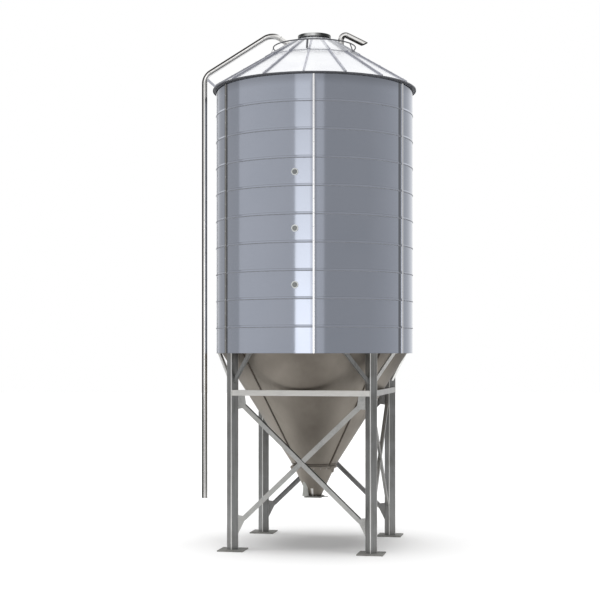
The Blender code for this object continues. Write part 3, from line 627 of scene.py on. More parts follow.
# levels by azimuth in degrees, low and above, and of the tall softbox in front by height
studio = {"backdrop": 1.0, "fill": 0.55, "zenith": 1.0, "aboveFrom": (0.17, 0.36),
          "zenithFrom": (0.80, 0.93),
          "around": [(0, 0.62), (22.0, 0.62), (22.3, 0.40), (75, 0.41), (99, 0.46), (106, 0.48),
                     (125, 0.54), (143, 0.54), (152, 0.64), (159, 0.78), (175, 0.95), (205, 1.0),
                     (211, 0.85), (219, 0.68), (226, 0.53), (232, 0.48), (273.4, 0.46),
                     (273.7, 0.65), (283, 0.65), (310, 0.63), (339, 0.59), (349, 0.57),
                     (360, 0.57)],
          "above": [(0, 0.62), (22, 0.62), (22.3, 0.43), (99, 0.48), (135, 0.55), (150, 1.1),
                    (232, 1.1), (247, 0.50), (273.4, 0.48), (273.7, 0.66), (310, 0.64),
                    (339, 0.60), (360, 0.60)],
          "boxAzimuth": -0.25, "boxHalf": (11.15, 10.85),
          "glow": [(0.0, 1.75), (0.04, 1.70), (0.065, 1.50), (0.10, 1.32), (0.13, 1.20),
                   (0.16, 1.02), (0.19, 0.88), (0.26, 0.82), (0.42, 0.92), (1.0, 0.95)],
          "sun": 2.6, "sunAngle": 42.0, "sunLean": -2.5,
          "floor": 0.90, "floorSize": 90.0, "mirrored": 0.34, "far": (4.0, 9.0)}


def makeWorld(values):
    world = bpy.data.worlds.new("studio")
    bpy.context.scene.world = world
    world.use_nodes = True
    tree = world.node_tree
    heading = addNode(tree, "ShaderNodeTexCoord").outputs["Generated"]
    azimuth, height = polar(tree, heading)
    turns = calc(tree, "FRACT", calc(tree, "DIVIDE", azimuth, math.tau))
    around, above = (ramp(tree, turns, [(degrees / 360.0, value) for degrees, value in values[key]])
                     for key in ("around", "above"))
    light = blend(tree, fade(tree, height, *values["aboveFrom"]), around, above)
    offFront = calc(tree, "ABSOLUTE", offNearest(tree, turns, -values["boxAzimuth"] / 360.0))
    inBox = fade(tree, offFront, *(degrees / 360.0 for degrees in values["boxHalf"]))
    light = blend(tree, inBox, light, ramp(tree, height, values["glow"]))
    light = blend(tree, fade(tree, height, *values["zenithFrom"]), light, (values["zenith"],) * 3)
    rays = addNode(tree, "ShaderNodeLightPath").outputs
    for ray, key in (("Is Diffuse Ray", "fill"), ("Is Camera Ray", "backdrop")):
        light = blend(tree, rays[ray], light, (values[key],) * 3)
    feed(tree, tree.nodes["Background"].inputs["Color"], light)


def makeFloor(values):
    clearSelection()
    bpy.ops.mesh.primitive_circle_add(vertices=96, radius=values["floorSize"], fill_type="NGON",
                                      location=(0, 0, 0))
    floor = rename(bpy.context.object, "studioFloor")
    pale = bpy.data.materials.new("paleFloor")
    pale.use_nodes = True
    tree = pale.node_tree
    shader = tree.nodes["Principled BSDF"]
    place = addNode(tree, "ShaderNodeTexCoord").outputs["Object"]
    tone = ramp(tree, noise(tree, place, 0.4, 2.0),
                [(0, values["floor"] - 0.01), (1, values["floor"])])
    # away from the silo the floor is toned down in reflections,
    # like a black cloth laid around a shiny piece
    reach = addNode(tree, "ShaderNodeVectorMath", operation="LENGTH")
    feed(tree, reach.inputs[0], place)
    glossy = addNode(tree, "ShaderNodeLightPath").outputs["Is Glossy Ray"]
    toned = times(tree, glossy, fade(tree, reach.outputs["Value"], *values["far"]))
    feed(tree, shader.inputs["Base Color"], blend(tree, toned, tone, (values["mirrored"],) * 3))
    shader.inputs["Roughness"].default_value = 0.9
    shader.inputs["Specular IOR Level"].default_value = 0.1
    floor.data.materials.append(pale)


def makeStudio(values):
    scene = bpy.context.scene
    scene.view_settings.view_transform = "Standard"
    makeWorld(values)
    makeFloor(values)
    lamp = bpy.data.lights.new("overheadLight", "SUN")
    lamp.energy = values["sun"]
    lamp.angle = math.radians(values["sunAngle"])
    sun = bpy.data.objects.new("overheadLight", lamp)
    scene.collection.objects.link(sun)
    sun.location = (0, 0, 20)
    sun.rotation_euler = (0, math.radians(values["sunLean"]), 0)
    sun.visible_glossy = False


makeCamera(cameraView)
makeStudio(studio)
print("silo: camera and studio ready")


# fasteners are modelled once at the origin and copied from there
def cappedDisc(name, sides, radius, depth, foot, rings):
    # a disc whose top steps inwards and up, ring by ring
    clearSelection()
    bpy.ops.mesh.primitive_cylinder_add(vertices=sides, radius=radius, depth=depth,
                                        location=(0, 0, foot + depth / 2))
    disc = rename(bpy.context.object, name)
    settle(disc)
    openEdit(disc)
    selectFaces(lambda middle, normal: normal.z > 0.9)
    for inset, rise in rings:
        bpy.ops.mesh.inset(thickness=inset)
        bpy.ops.transform.translate(value=(0, 0, rise))
    closeEdit()
    return disc


def makeHexBolt(name, across, height, washer):
    head = cappedDisc(name, 6, across / 2 / math.cos(math.pi / 6), height, washer * 0.15,
                      [(across * 0.09, height * 0.14)])
    disc = cappedDisc(name + "Washer", 14, washer, washer * 0.16, 0.0,
                      [(washer * 0.08, washer * 0.03)])
    return joined([head, disc], name)


def makeDome(name, radius, height):
    rounded = cappedDisc(name, 10, radius, height * 0.4, 0.0,
                         [(radius * 0.22, height * 0.4), (radius * 0.4, height * 0.2)])
    smooth(rounded, 60)
    return rounded


hexBolt = makeHexBolt("hexBolt", 0.017, 0.0075, 0.012)
smallBolt = makeHexBolt("smallBolt", 0.008, 0.005, 0.008)
dome = makeDome("dome", 0.008, 0.0045)
screw = makeDome("screw", 0.0035, 0.0022)

boltLook = {"color": (0.60, 0.60, 0.58), "dull": (0.44, 0.44, 0.42), "rough": 0.30,
            "stretch": (200.0, 200.0, 200.0), "bump": 0.05, "wear": 0.3}
boltSteel = metalSurface("boltSteel", boltLook)

# wall of six panels and six cover strips
# a bead is drawn upwards by (height from its seam, how far it stands out)
wallSizes = {"radius": 1.75, "bottom": 3.385, "top": 8.066, "foot": 0.004, "firstSeam": 7.582,
             "pitch": 0.47, "seams": 9, "sheet": 0.004, "panels": 6, "seamAzimuth": 10.3,
             "edge": 0.60, "steps": 46,
             "bead": [(-0.0070, 0.0), (-0.0045, 0.0), (-0.0035, 0.0025), (-0.0010, 0.0055),
                      (0.0040, 0.0068), (0.0100, 0.0066), (0.0180, 0.0050), (0.0270, 0.0027),
                      (0.0340, 0.0009), (0.0390, 0.0002), (0.0425, 0.0), (0.0460, 0.0)],
             "rivets": 19, "rivetPitch": 0.235, "firstRivet": 7.837, "stripProud": 0.018,
             "shadedStrip": 5}
# the wall's laps, strips and eave get painted shade, and two strips get painted dark reflections
wallLook = {"color": (0.500, 0.535, 0.622), "dull": (0.485, 0.522, 0.608),
            "light": (0.520, 0.556, 0.642), "rough": 0.105, "roughSpread": 0.02,
            "stretch": (3.0, 3.0, 140.0), "grain": 0.4, "clouds": 1.1, "dust": 0.03,
            "dustSize": 1.5, "bump": 0.02, "seams": 0.0085, "seamColor": (0.20, 0.21, 0.24),
            "runs": 0.10, "runColor": (0.36, 0.37, 0.40), "shade": 0.45, "crease": 0.30,
            "shadeColor": (0.22, 0.23, 0.26), "stripReflection": 0.80, "stripReflectionColor": (0.10, 0.105, 0.115)}
stripLook = {"color": (0.97, 0.97, 0.98), "dull": (0.92, 0.92, 0.94), "rough": 0.11,
             "roughSpread": 0.04, "stretch": (80.0, 80.0, 4.0), "dust": 0.02, "bump": 0.01}
# painted shade: one strip is a darker copy of the strip steel
shadedStripLook = {**stripLook, "color": (0.40, 0.39, 0.37), "dull": (0.30, 0.29, 0.27),
                 "rough": 0.30}
wallSteel = metalSurface("wallSteel", wallLook)
stripSteel = metalSurface("stripSteel", stripLook)
shadedStripSteel = metalSurface("shadedStripSteel", shadedStripLook)


def makeWall(sizes):
    radius = sizes["radius"]
    profile = [(radius, sizes["bottom"]), (radius, sizes["bottom"] + sizes["foot"])]
    for seam in reversed(range(sizes["seams"])):
        height = sizes["firstSeam"] - seam * sizes["pitch"]
        profile += [(radius + out, height + up) for up, out in sizes["bead"]]
    profile.append((radius, sizes["top"]))
    pitch = 360.0 / sizes["panels"]
    panel = latheSheet("wallPanel_1", profile, sizes["steps"], sizes["sheet"], 40,
                       pitch - 2 * sizes["edge"], sizes["seamAzimuth"] + sizes["edge"])
    for k in range(sizes["panels"]):
        piece = panel if k == 0 else copyOf(panel, f"wallPanel_{k + 1}", turnAbout(k * pitch))
        dress(piece, wallSteel, standsFor=[f"wall_panel_{k + 1}"])
    rivets = []
    for k in range(sizes["panels"]):
        azimuth = sizes["seamAzimuth"] + k * pitch
        # one strip takes the darker copy, painted shade
        surface = shadedStripSteel if k == sizes["shadedStrip"] else stripSteel
        carried(f"seam_strip_{k + 1}", f"seamStrip_{k + 1}", surface, "strip_steel", 0.0012)
        for row in range(sizes["rivets"]):
            z = sizes["firstRivet"] - row * sizes["rivetPitch"]
            rivets.append((onSilo(radius + sizes["stripProud"], azimuth, z), outward(azimuth)))
    dress(spread(dome, "stripRivets", rivets), stripSteel)


makeWall(wallSizes)
print("silo: wall made")

# eave ring
eaveSizes = {"inner": 1.7545, "outer": 1.812, "bottom": 8.036, "top": 8.066, "plate": 0.008,
             "lip": 8.044, "ease": 0.002, "steps": 192}
eaveLook = {"color": (0.095, 0.099, 0.113), "dull": (0.070, 0.073, 0.083), "rough": 0.42,
            "metallic": 0.0, "stretch": (40.0, 40.0, 40.0), "grain": 0.4, "dust": 0.05,
            "bump": 0.06, "wear": 0.12, "bare": (0.20, 0.20, 0.21)}
eavePaint = metalSurface("eavePaint", eaveLook)


def makeEave(sizes):
    inner, outer, plate = sizes["inner"], sizes["outer"], sizes["plate"]
    top, ease = sizes["top"], sizes["ease"]
    profile = [(inner, sizes["bottom"]), (inner + plate - ease, sizes["bottom"]),
               (inner + plate, sizes["bottom"] + ease), (inner + plate, top - plate - ease),
               (inner + plate + ease, top - plate), (outer - plate, top - plate),
               (outer - plate, sizes["lip"] + ease), (outer - plate + ease, sizes["lip"]),
               (outer - ease, sizes["lip"]), (outer, sizes["lip"] + ease), (outer, top - 2 * ease),
               (outer - 0.6 * ease, top - 0.6 * ease), (outer - 2 * ease, top), (inner, top)]
    ring = lathe("eaveRing", profile, sizes["steps"], closed=True)
    smooth(ring, 30)
    dress(ring, eavePaint, standsFor=["eave_ring"])


makeEave(eaveSizes)

# roof of four quarters with raised ribs
roofSizes = {"sides": 16, "firstCorner": 5.0, "ribHalf": 0.0158, "slope": 31.2, "corner": 1.80,
             "base": 8.0663, "ribHeight": 0.0225, "lap": 0.86, "lapHeight": 0.008,
             "screwRadii": (1.74, 1.52, 1.30, 1.08, 0.80, 0.58)}
roofLook = {"color": (0.92, 0.93, 0.95), "dull": (0.86, 0.87, 0.90), "rough": 0.26,
            "stretch": (25.0, 25.0, 25.0), "grain": 0.25, "dust": 0.03, "bump": 0.03}
ribLook = {"color": (0.60, 0.61, 0.67), "dull": (0.50, 0.51, 0.57), "rough": 0.34,
           "stretch": (60.0, 60.0, 60.0), "dust": 0.15, "bump": 0.08, "wear": 0.2}
roofSteel = metalSurface("roofSteel", roofLook)
ribSteel = metalSurface("ribSteel", ribLook)


def makeRoof(sizes):
    pitch = 360.0 / sizes["sides"]

    def onRib(middle, normal):  # raised ribs over the corners
        away = middle - siloAxis
        azimuth = math.degrees(math.atan2(away.x, -away.y)) - sizes["firstCorner"]
        lean = math.radians((azimuth + pitch / 2) % pitch - pitch / 2)
        return abs(math.hypot(away.x, away.y) * math.sin(lean)) < sizes["ribHalf"]

    for side in ("front", "right", "rear", "left"):
        quarter = carried(f"roof_{side}", f"roofQuarter_{side}", roofSteel, "roof_steel",
                          0.0015, 2, 20, 0.2)
        dressFaces(quarter, ribSteel, onRib)
    screws = []
    slope = math.radians(sizes["slope"])
    for azimuth in allRound(sizes["sides"], sizes["firstCorner"]):
        normal = outward(azimuth) * math.sin(slope) + upright * math.cos(slope)
        for radius in sizes["screwRadii"]:
            proud = sizes["ribHeight"] + (sizes["lapHeight"] if radius < sizes["lap"] else 0.0)
            rise = (sizes["corner"] - radius) * math.tan(slope) + proud / math.cos(slope)
            screws.append((onSilo(radius, azimuth, sizes["base"] + rise), normal))
    dress(spread(smallBolt, "ribScrews", screws), boltSteel)


makeRoof(roofSizes)

# collar, lid and rail on the roof
# the lid is drawn from its middle outwards by (radius, height from its top)
topSizes = {"collarOuter": 0.270, "collarInner": 0.256, "collarBottom": 8.9988,
            "collarTop": 9.0505, "collarEase": 0.002, "lidTop": 9.056,
            "lid": [(0, 0), (0.20, 0), (0.235, -0.0008), (0.242, -0.0022), (0.249, -0.0008),
                    (0.288, -0.0006), (0.292, -0.0018), (0.2942, -0.0045), (0.295, -0.008)],
            "lidRadius": 0.295, "skirtBottom": 9.000, "skirt": 0.006, "steps": 96}
# the bands are painted reflections, dark down the flanks of the pipes and at the ends of the lid
pipeLook = {"color": (0.97, 0.96, 0.94), "dull": (0.88, 0.87, 0.85), "rough": 0.15,
            "roughSpread": 0.05, "stretch": (140.0, 140.0, 6.0), "dust": 0.04, "bump": 0.04,
            "bandSide": (0.78, 0.156, -0.60), "bands": [(-0.59, 0.40, 1.0), (0.52, 0.24, 0.75)],
            "bandColor": (0.032, 0.029, 0.025)}
ventLook = {**pipeLook, "bandSide": (0.2, 0.0, -0.98),
            "bands": [(-0.75, 0.45, 0.97), (0.52, 0.45, 0.95)]}
lidLook = {"color": (0.80, 0.81, 0.80), "dull": (0.70, 0.71, 0.70), "rough": 0.30,
           "stretch": (40.0, 40.0, 160.0), "bump": 0.05, "bandSide": (0.981, 0.196, 0.0),
           "bands": [(-0.95, 0.60, 1.0), (0.87, 0.95, 1.0)], "bandColor": (0.060, 0.064, 0.062)}
pipeSteel = metalSurface("pipeSteel", pipeLook)
ventSteel = metalSurface("ventSteel", ventLook)
lidSteel = metalSurface("lidSteel", lidLook)


def makeRoofTop(sizes):
    outer, inner, ease = sizes["collarOuter"], sizes["collarInner"], sizes["collarEase"]
    bottom, top = sizes["collarBottom"], sizes["collarTop"]
    profile = [(inner, bottom), (outer, bottom), (outer, top - ease), (outer - ease, top),
               (inner + ease, top), (inner, top - ease)]
    collar = lathe("roofCollar", profile, sizes["steps"], closed=True)
    smooth(collar, 35)
    dress(collar, lidSteel, standsFor=["roof_collar"])
    edge, low, under = sizes["lidRadius"], sizes["skirtBottom"], top + 0.0003
    inside = edge - sizes["skirt"]
    profile = [(radius, sizes["lidTop"] + up) for radius, up in sizes["lid"]]
    profile += [(edge, low + 0.005), (edge + 0.002, low + 0.002), (edge, low), (inside, low),
                (inside, under), (0, under)]
    lid = lathe("roofLid", profile, sizes["steps"])
    smooth(lid, 35)
    dress(lid, lidSteel, standsFor=["roof_lid"])
    carried("roof_rail", "roofRail", eavePaint, "dark_paint", 0.0)


makeRoofTop(topSizes)

# outside fill pipe, its bracket and the vent
fillSizes = {"radius": 0.050, "sheet": 0.004, "axis": 2.028, "bottom": 0.756, "corner": 8.4135,
             "bend": 0.22, "rise": 29.75, "crest": 0.78, "crestBend": 0.28, "fall": 35.0,
             "lastRun": 0.34, "weld": 0.0010, "rim": 0.051, "rimLength": 0.012,
             "rimStep": 0.0008, "joint": 2.5}
ventSizes = {"radius": 0.052, "sheet": 0.004, "axis": 0.484, "bottom": 8.80,
             "bendBottom": 8.965, "bend": 0.078, "fall": 28.0, "run": 0.345, "slant": 0.95,
             "weld": 0.0010}
toRight = (0, 1, 0)  # the axis of a bend from upright towards the right


def makeFillPipe(sizes):
    rise, radius, joint = math.radians(sizes["rise"]), sizes["radius"], sizes["joint"]
    tangent = sizes["bend"] * math.tan((math.pi / 2 - rise) / 2)
    crestStart = sizes["crest"] + sizes["crestBend"] * math.sin(rise)
    sloping = (sizes["axis"] - crestStart) / math.cos(rise) - tangent
    rim, step = sizes["rimLength"], sizes["rimStep"]
    lower = sizes["corner"] - tangent - sizes["bottom"] - rim - step - 2 * joint
    weld = weldRidge(radius, sizes["weld"])
    runs = [straight(rim), straight(step, radius, sizes["rim"]),
            straight(joint), weld, straight(joint), weld, straight(lower - 3 * ridgeLength), weld,
            ("bend", toRight, sizes["bend"], 90 - sizes["rise"], 20), weld,
            straight(sloping - 2 * ridgeLength), weld,
            ("bend", toRight, sizes["crestBend"], sizes["rise"] + sizes["fall"], 24), weld,
            straight(sizes["lastRun"] - ridgeLength)]
    start = onSilo(sizes["axis"], -90, sizes["bottom"])
    pipe = pipeRun("fillPipe", sizes["rim"], start, upright, runs)[0]
    faceOutward(pipe, start, 7.0)
    thicken(pipe, sizes["sheet"])
    smooth(pipe, 35)
    dress(pipe, pipeSteel, standsFor=["fill_pipe"])
    carried("pipe_bracket", "pipeBracket", ribSteel, "pipe_steel", 0.0015)


def makeVent(sizes):
    radius, weld = sizes["radius"], weldRidge(sizes["radius"], sizes["weld"])
    runs = [straight(sizes["bendBottom"] - sizes["bottom"] - ridgeLength), weld,
            ("bend", toRight, sizes["bend"], 90 + sizes["fall"], 24), weld,
            straight(sizes["run"] - ridgeLength + radius)]
    start = onSilo(sizes["axis"], 90, sizes["bottom"])
    vent, end, heading = pipeRun("ventPipe", radius, start, upright, runs)
    faceOutward(vent, start, sizes["bendBottom"])
    upward = Vector((-heading.z, 0, heading.x))
    openEdit(vent)
    bpy.ops.mesh.bisect(plane_co=end - heading * radius,
                        plane_no=heading - upward * sizes["slant"], clear_outer=True)
    closeEdit()
    thicken(vent, sizes["sheet"])
    smooth(vent, 35)
    dress(vent, ventSteel, standsFor=["vent_pipe"])


makeFillPipe(fillSizes)
makeVent(ventSizes)
print("silo: roof and pipes made")

# hopper, joint ring and spout
# the hem's edges count from the sheet's radius, and a fold is sunk into the sheet
hopperSizes = {"topRadius": 1.742, "top": 3.535, "slope": 1.578, "bottom": 1.365,
               "sheet": 0.005, "seamAzimuth": 53.0, "gap": 0.03, "steps": 60,
               "foldBottom": 1.415, "foldTop": 3.475, "foldWidth": 0.030, "foldHeight": 0.012,
               "foldSunk": 0.004, "hem": (1.414, 1.434), "hemInside": -0.002,
               "hemOutside": 0.006, "ringBolts": 20, "ringRadius": 0.382, "ringFoot": 1.352,
               "firstBolt": 9.0, "spoutTop": (0.362, 1.3517), "spoutBottom": (0.125, 0.8453),
               "spoutSheet": 0.0055, "mouth": 0.28}
# the hopper's last tone is painted shade under the bin and a painted dark reflection in front
hopperLook = {"color": (0.330, 0.300, 0.262), "dull": (0.290, 0.264, 0.230),
              "light": (0.350, 0.320, 0.280), "rough": 0.50, "roughSpread": 0.06,
              "stretch": (16.0, 16.0, 2.0), "grain": 0.4, "clouds": 1.4, "dust": 0.05,
              "dustColor": (0.24, 0.22, 0.19), "bump": 0.02, "paintedShade": 0.72,
              "paintedShadeColor": (0.115, 0.100, 0.083)}
foldLook = {"color": (0.100, 0.082, 0.066), "dull": (0.065, 0.052, 0.043), "rough": 0.42,
            "metallic": 0.8, "stretch": (60.0, 60.0, 20.0), "grain": 0.4, "bump": 0.08,
            "wear": 0.25, "bare": (0.30, 0.27, 0.23)}
# a painted highlight down the front of the spout's mouth
mouthLook = {**hopperLook, "bandSide": (0.999, -0.047, 0.0), "bands": [(0.0, 0.15, 0.95)],
             "bandColor": (0.95, 0.93, 0.90)}
hopperSteel = metalSurface("hopperSteel", hopperLook)
foldSteel = metalSurface("foldSteel", foldLook)
mouthSteel = metalSurface("mouthSteel", mouthLook)


def hopperRadius(sizes, z):
    return sizes["topRadius"] - (sizes["top"] - z) / sizes["slope"]


def makeFold(sizes):  # an eased bar down the front of the cone, to be turned to each joint
    bottom, top = (onSilo(hopperRadius(sizes, z), 0, z)
                   for z in (sizes["foldBottom"], sizes["foldTop"]))
    along = top - bottom
    normal = upright.cross(along).cross(along).normalized()
    normal *= -1 if normal.y > 0 else 1
    height, sunk = sizes["foldHeight"], sizes["foldSunk"]
    clearSelection()
    bpy.ops.mesh.primitive_cube_add(size=1.0, location=(0, 0, 0))
    fold = rename(bpy.context.object, "hopperFold")
    fold.scale = (sizes["foldWidth"], height + sunk, along.length)
    fold.location = (top + bottom) / 2 + normal * (height - sunk) / 2
    fold.rotation_euler = (math.atan2(-along.y, along.z), 0, 0)
    settle(fold)
    return easeEdges(fold, 0.004, 3, 40)


def makeHopper(sizes):
    rise = sizes["top"] - sizes["bottom"]
    profile = [(hopperRadius(sizes, z), z)
               for z in (sizes["bottom"] + rise * k / 8 for k in range(9))]
    sheet = latheSheet("hopperSheet_1", profile, sizes["steps"], sizes["sheet"], 30,
                       90.0 - 2 * sizes["gap"], sizes["seamAzimuth"] + sizes["gap"])
    fold = makeFold(sizes)
    for k in range(4):
        piece = sheet if k == 0 else copyOf(sheet, f"hopperSheet_{k + 1}", turnAbout(90.0 * k))
        dress(piece, hopperSteel, standsFor=[f"hopper_sheet_{k + 1}"])
        seam = copyOf(fold, f"hopperSeam_{k + 1}", turnAbout(sizes["seamAzimuth"] + 90.0 * k))
        dress(seam, foldSteel)
    bpy.data.objects.remove(fold)
    low, high = sizes["hem"]
    profile = [(hopperRadius(sizes, z) + sizes[side], z)
               for z, side in ((low, "hemInside"), (low, "hemOutside"),
                               (high, "hemOutside"), (high, "hemInside"))]
    hem = lathe("hopperHem", profile, 96, closed=True)
    smooth(hem, 30)
    dress(hem, foldSteel)

    carried("hopper_joint_ring", "jointRing", hopperSteel, "hopper_steel", 0.0015)
    bolts = [(onSilo(sizes["ringRadius"], azimuth, sizes["ringFoot"]), -upright)
             for azimuth in allRound(sizes["ringBolts"], sizes["firstBolt"])]
    dress(spread(hexBolt, "ringBolts", bolts), boltSteel)
    stops = [tuple(low + (high - low) * share
                   for low, high in zip(sizes["spoutBottom"], sizes["spoutTop"]))
             for share in (0, sizes["mouth"], 0.6, 1)]
    spout = latheSheet("hopperSpout", stops, 96, sizes["spoutSheet"], 30)
    dress(spout, hopperSteel, standsFor=["hopper_spout"])
    dressFaces(spout, mouthSteel, lambda middle, normal: middle.z < stops[1][1])


makeHopper(hopperSizes)

# outlet flange, slide gate and side port
# the port is drawn upwards by (radius, height)
outletSizes = {"flangeBolts": 8, "firstBolt": 22.5, "boltRadius": 0.150, "boltHeight": 0.845,
               "portAzimuth": -41.0, "portDistance": 0.20, "portSheet": 0.004,
               "port": [(0.057, 0.8462), (0.0575, 0.852), (0.0555, 0.872), (0.0475, 0.945),
                        (0.047, 0.952), (0.047, 1.070), (0.0485, 1.072), (0.0485, 1.084),
                        (0.047, 1.086), (0.047, 1.10)]}
outletLook = {"color": (0.20, 0.19, 0.18), "dull": (0.13, 0.125, 0.12), "rough": 0.36,
              "stretch": (90.0, 90.0, 30.0), "dust": 0.12, "bump": 0.06, "wear": 0.3}
portLook = {"color": (0.58, 0.59, 0.56), "dull": (0.47, 0.48, 0.45), "rough": 0.36,
            "metallic": 0.0, "stretch": (60.0, 60.0, 60.0), "grain": 0.4, "dust": 0.2,
            "bump": 0.10, "wear": 0.2}
outletSteel = metalSurface("outletSteel", outletLook)
portPlastic = metalSurface("portPlastic", portLook)


def makeOutlet(sizes):
    carried("outlet_flange", "outletFlange", outletSteel, "hopper_steel", 0.0012)
    bolts = [(onSilo(sizes["boltRadius"], azimuth, sizes["boltHeight"]), upright)
             for azimuth in allRound(sizes["flangeBolts"], sizes["firstBolt"])]
    dress(spread(hexBolt, "flangeBolts", bolts), boltSteel)
    carried("gate_blade", "gateBlade", outletSteel, "brace_steel", 0.0012, body="gate")
    centre = onSilo(sizes["portDistance"], sizes["portAzimuth"])
    port = latheSheet("sidePort", sizes["port"], 48, sizes["portSheet"], 40, centre=centre)
    dress(port, portPlastic, standsFor=["side_port"])


makeOutlet(outletSizes)
print("silo: hopper made")

# legs with struts and foot plates, beams and cross braces
legLook = {"color": (0.27, 0.275, 0.275), "dull": (0.20, 0.20, 0.195),
           "light": (0.33, 0.33, 0.325), "rough": 0.34, "roughSpread": 0.12, "metallic": 0.85,
           "stretch": (36.0, 36.0, 1.2), "grain": 0.6, "clouds": 2.5, "dust": 0.12,
           "ground": 0.15, "dustColor": (0.16, 0.15, 0.14), "bump": 0.06, "wear": 0.6,
           "bare": (0.70, 0.68, 0.62)}
beamLook = {"color": (0.76, 0.75, 0.72), "dull": (0.64, 0.63, 0.61),
            "light": (0.84, 0.83, 0.80), "rough": 0.36, "metallic": 0.9,
            "stretch": (6.0, 6.0, 60.0), "clouds": 3.0, "dust": 0.15, "bump": 0.08, "wear": 0.3}
braceLook = {"color": (0.47, 0.47, 0.455), "dull": (0.37, 0.37, 0.36),
             "light": (0.53, 0.53, 0.52), "rough": 0.38, "metallic": 0.85,
             "stretch": (30.0, 30.0, 30.0), "clouds": 3.0, "dust": 0.2, "bump": 0.08,
             "wear": 0.4}
# painted highlight: a lighter copy of the leg steel for the tube's corners and outer struts
legHighlightLook = retoned(legLook, (0.84, 0.84, 0.82), (0.70, 0.70, 0.68), (0.92, 0.92, 0.90))
footLook = retoned(legLook, (0.19, 0.19, 0.18), (0.15, 0.15, 0.14), (0.23, 0.23, 0.22),
                   rough=0.75, metallic=0.1, stretch=(9.0, 9.0, 9.0), dust=0.05, ground=0.0,
                   wear=0.2)
# painted shade: darker copies for the right and rear beams and the rear brace
shadedBeamLook = retoned(beamLook, (0.55, 0.55, 0.54), (0.45, 0.45, 0.45), (0.62, 0.62, 0.61))
shadedBraceLook = retoned(braceLook, (0.24, 0.24, 0.24), (0.18, 0.18, 0.18), (0.28, 0.28, 0.28))
# painted shade for the upper edges of the braces
braceShadeLook = retoned(braceLook, (0.035, 0.035, 0.034), (0.025, 0.025, 0.024),
                        (0.045, 0.045, 0.044), rough=0.85, metallic=0.0, dust=0.02, wear=0.0)
legSteel = metalSurface("legSteel", legLook)
legHighlightSteel = metalSurface("legHighlightSteel", legHighlightLook)
footSteel = metalSurface("footSteel", footLook)
beamSteel = metalSurface("beamSteel", beamLook)
shadedBeamSteel = metalSurface("shadedBeamSteel", shadedBeamLook)
braceSteel = metalSurface("braceSteel", braceLook)
shadedBraceSteel = metalSurface("shadedBraceSteel", shadedBraceLook)
braceShadeSteel = metalSurface("braceShadeSteel", braceShadeLook)
# a brace leans to the right (1) or left (-1), with its face so far in front of the plane
frameSizes = {"footTop": 0.03, "strutFoot": 2.5, "strutSide": 1.30, "cornerFacing": 0.76,
              "plane": 1.2021, "crossing": 1.517, "rise": 0.96, "half": 0.043, "shade": 0.010,
              "faces": {1: 0.004, -1: 0.012}, "boltAt": (0.978, 0.955),
              "sides": {"front": 0, "right": 90, "rear": 180}}


def makeLegs(sizes):
    def onCorner(middle, normal):  # the eased corners of the tube, with a painted highlight
        facing = max(abs(normal.x), abs(normal.y))
        return (abs(normal.z) < 0.1 and middle.z < sizes["strutFoot"]
                and facing > sizes["cornerFacing"])

    # the outer faces of the struts, with the same painted highlight
    def onOuterStrut(middle, normal):
        return middle.z > sizes["strutFoot"] and abs(middle.x - axisX) > sizes["strutSide"]

    for side in ("front_right", "rear_right", "rear_left", "front_left"):
        leg = carried(f"leg_{side}", f"leg_{side}_tube", legSteel, "leg_paint", 0.0015, 2, 35)
        dressFaces(leg, legHighlightSteel, onCorner)
        dressFaces(leg, legHighlightSteel, onOuterStrut)
        dressFaces(leg, footSteel, lambda middle, normal: middle.z < sizes["footTop"])


def shadeBrace(brace, turn, sizes):
    # painted shade on the upper edges, and a painted shade margin beside them on the bar in front
    front = turn @ Vector((0, -1, 0))
    slanting = (turn @ Vector((sizes["rise"], 0, 1))).normalized()
    heart = siloAxis + upright * sizes["crossing"]
    margin = sizes["half"] - sizes["shade"]
    nose = sizes["plane"] + sizes["faces"][-1]
    openEdit(brace)
    bpy.ops.mesh.bisect(plane_co=heart + slanting * margin, plane_no=slanting)
    closeEdit()

    def onEdge(middle, normal):
        off = middle - heart
        atFront = normal.dot(front) > 0.3 and abs(off.dot(front) - nose) < 0.002
        return normal.dot(slanting) > 0.85 or (atFront and off.dot(slanting) > margin)

    dressFaces(brace, braceShadeSteel, onEdge)


def makeFrame(sizes):
    makeLegs(sizes)
    bolts = []
    for side, azimuth in sizes["sides"].items():
        # painted shade on the right and rear beams
        surface = beamSteel if side == "front" else shadedBeamSteel
        carried(f"beam_{side}", f"beam_{side}_bar", surface, "brace_steel", 0.004, 3)
        # painted shade on the rear brace
        surface = shadedBraceSteel if side == "rear" else braceSteel
        brace = carried(f"cross_brace_{side}", f"crossBrace_{side}", surface, "brace_steel", 0.0015)
        turn = Matrix.Rotation(math.radians(azimuth), 3, "Z")
        shadeBrace(brace, turn, sizes)
        points = [(0.0, sizes["faces"][-1], 0.0)]
        for lean, face in sizes["faces"].items():
            points += [(end * reach, face, lean * end * sizes["rise"] * reach)
                       for end in (-1, 1) for reach in sizes["boltAt"]]
        for x, face, up in points:
            point = Vector((x, -sizes["plane"] - face, sizes["crossing"] + up))
            bolts.append((siloAxis + turn @ point, turn @ Vector((0, -1, 0))))
    dress(spread(hexBolt, "braceBolts", bolts), braceSteel)


makeFrame(frameSizes)

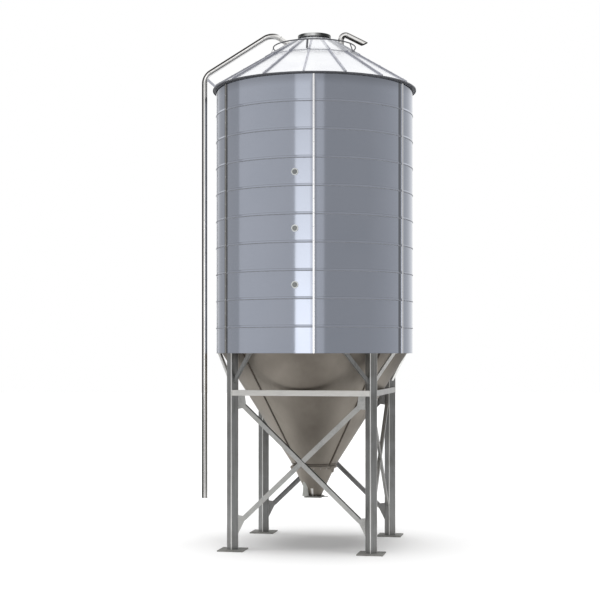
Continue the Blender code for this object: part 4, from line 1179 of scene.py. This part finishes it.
# sight glasses, drawn lying down and then turned to the front
glassSizes = {"radius": 0.061, "pane": 0.042, "depth": 0.0155, "azimuth": 0.0, "screws": 6,
              "screwCircle": 0.0515, "heights": (6.407, 5.467, 4.527), "steps": 64}
glassLook = {"color": (0.74, 0.76, 0.76), "dull": (0.64, 0.66, 0.66), "rough": 0.32,
             "metallic": 0.2, "stretch": (90.0, 90.0, 90.0), "grain": 0.4, "bump": 0.05,
             "wear": 0.2}
paneLook = {"color": (0.24, 0.25, 0.25), "dull": (0.19, 0.20, 0.20), "rough": 0.08,
            "metallic": 0.0, "stretch": (20.0, 20.0, 20.0), "grain": 0.3, "dust": 0.25,
            "dustColor": (0.25, 0.26, 0.24), "bump": 0.02}
glassFrame = metalSurface("glassFrame", glassLook)
paneGlass = metalSurface("paneGlass", paneLook)


def makeSightGlasses(sizes):
    radius, pane, depth = sizes["radius"], sizes["pane"], sizes["depth"]
    profile = [(0, 0.005), (pane, 0.005), (pane, depth - 0.002), (pane + 0.002, depth),
               (radius - 0.006, depth), (radius - 0.003, depth - 0.0012),
               (radius - 0.0012, depth - 0.004), (radius, depth - 0.007), (radius, -0.004),
               (0, -0.004)]
    direction = outward(sizes["azimuth"])
    angles = [math.tau * n / sizes["screws"] for n in range(sizes["screws"])]
    circle = [Vector((math.sin(a), math.cos(a), 0)) * sizes["screwCircle"] + upright * depth
              for a in angles]
    for k, z in enumerate(sizes["heights"]):
        glass = lathe(f"sightGlass_{k + 1}", profile, sizes["steps"], centre=(0, 0, 0))
        smooth(glass, 35)
        heads = spread(screw, f"glassScrews_{k + 1}", [(point, upright) for point in circle])
        turn = (Matrix.Translation(onSilo(wallSizes["radius"], sizes["azimuth"], z))
                @ direction.to_track_quat("Z", "Y").to_matrix().to_4x4())
        for piece in (glass, heads):
            piece.data.transform(turn)
        dress(glass, glassFrame, standsFor=[f"sight_glass_{k + 1}"])
        dressFaces(glass, paneGlass, lambda middle, normal: normal.dot(direction) > 0.9
                   and direction.cross(middle - turn.translation).length < pane - 0.001)
        dress(heads, boltSteel)


makeSightGlasses(glassSizes)
for pattern in (hexBolt, smallBolt, dome, screw):
    bpy.data.objects.remove(pattern)
print("silo: frame and sight glasses made")
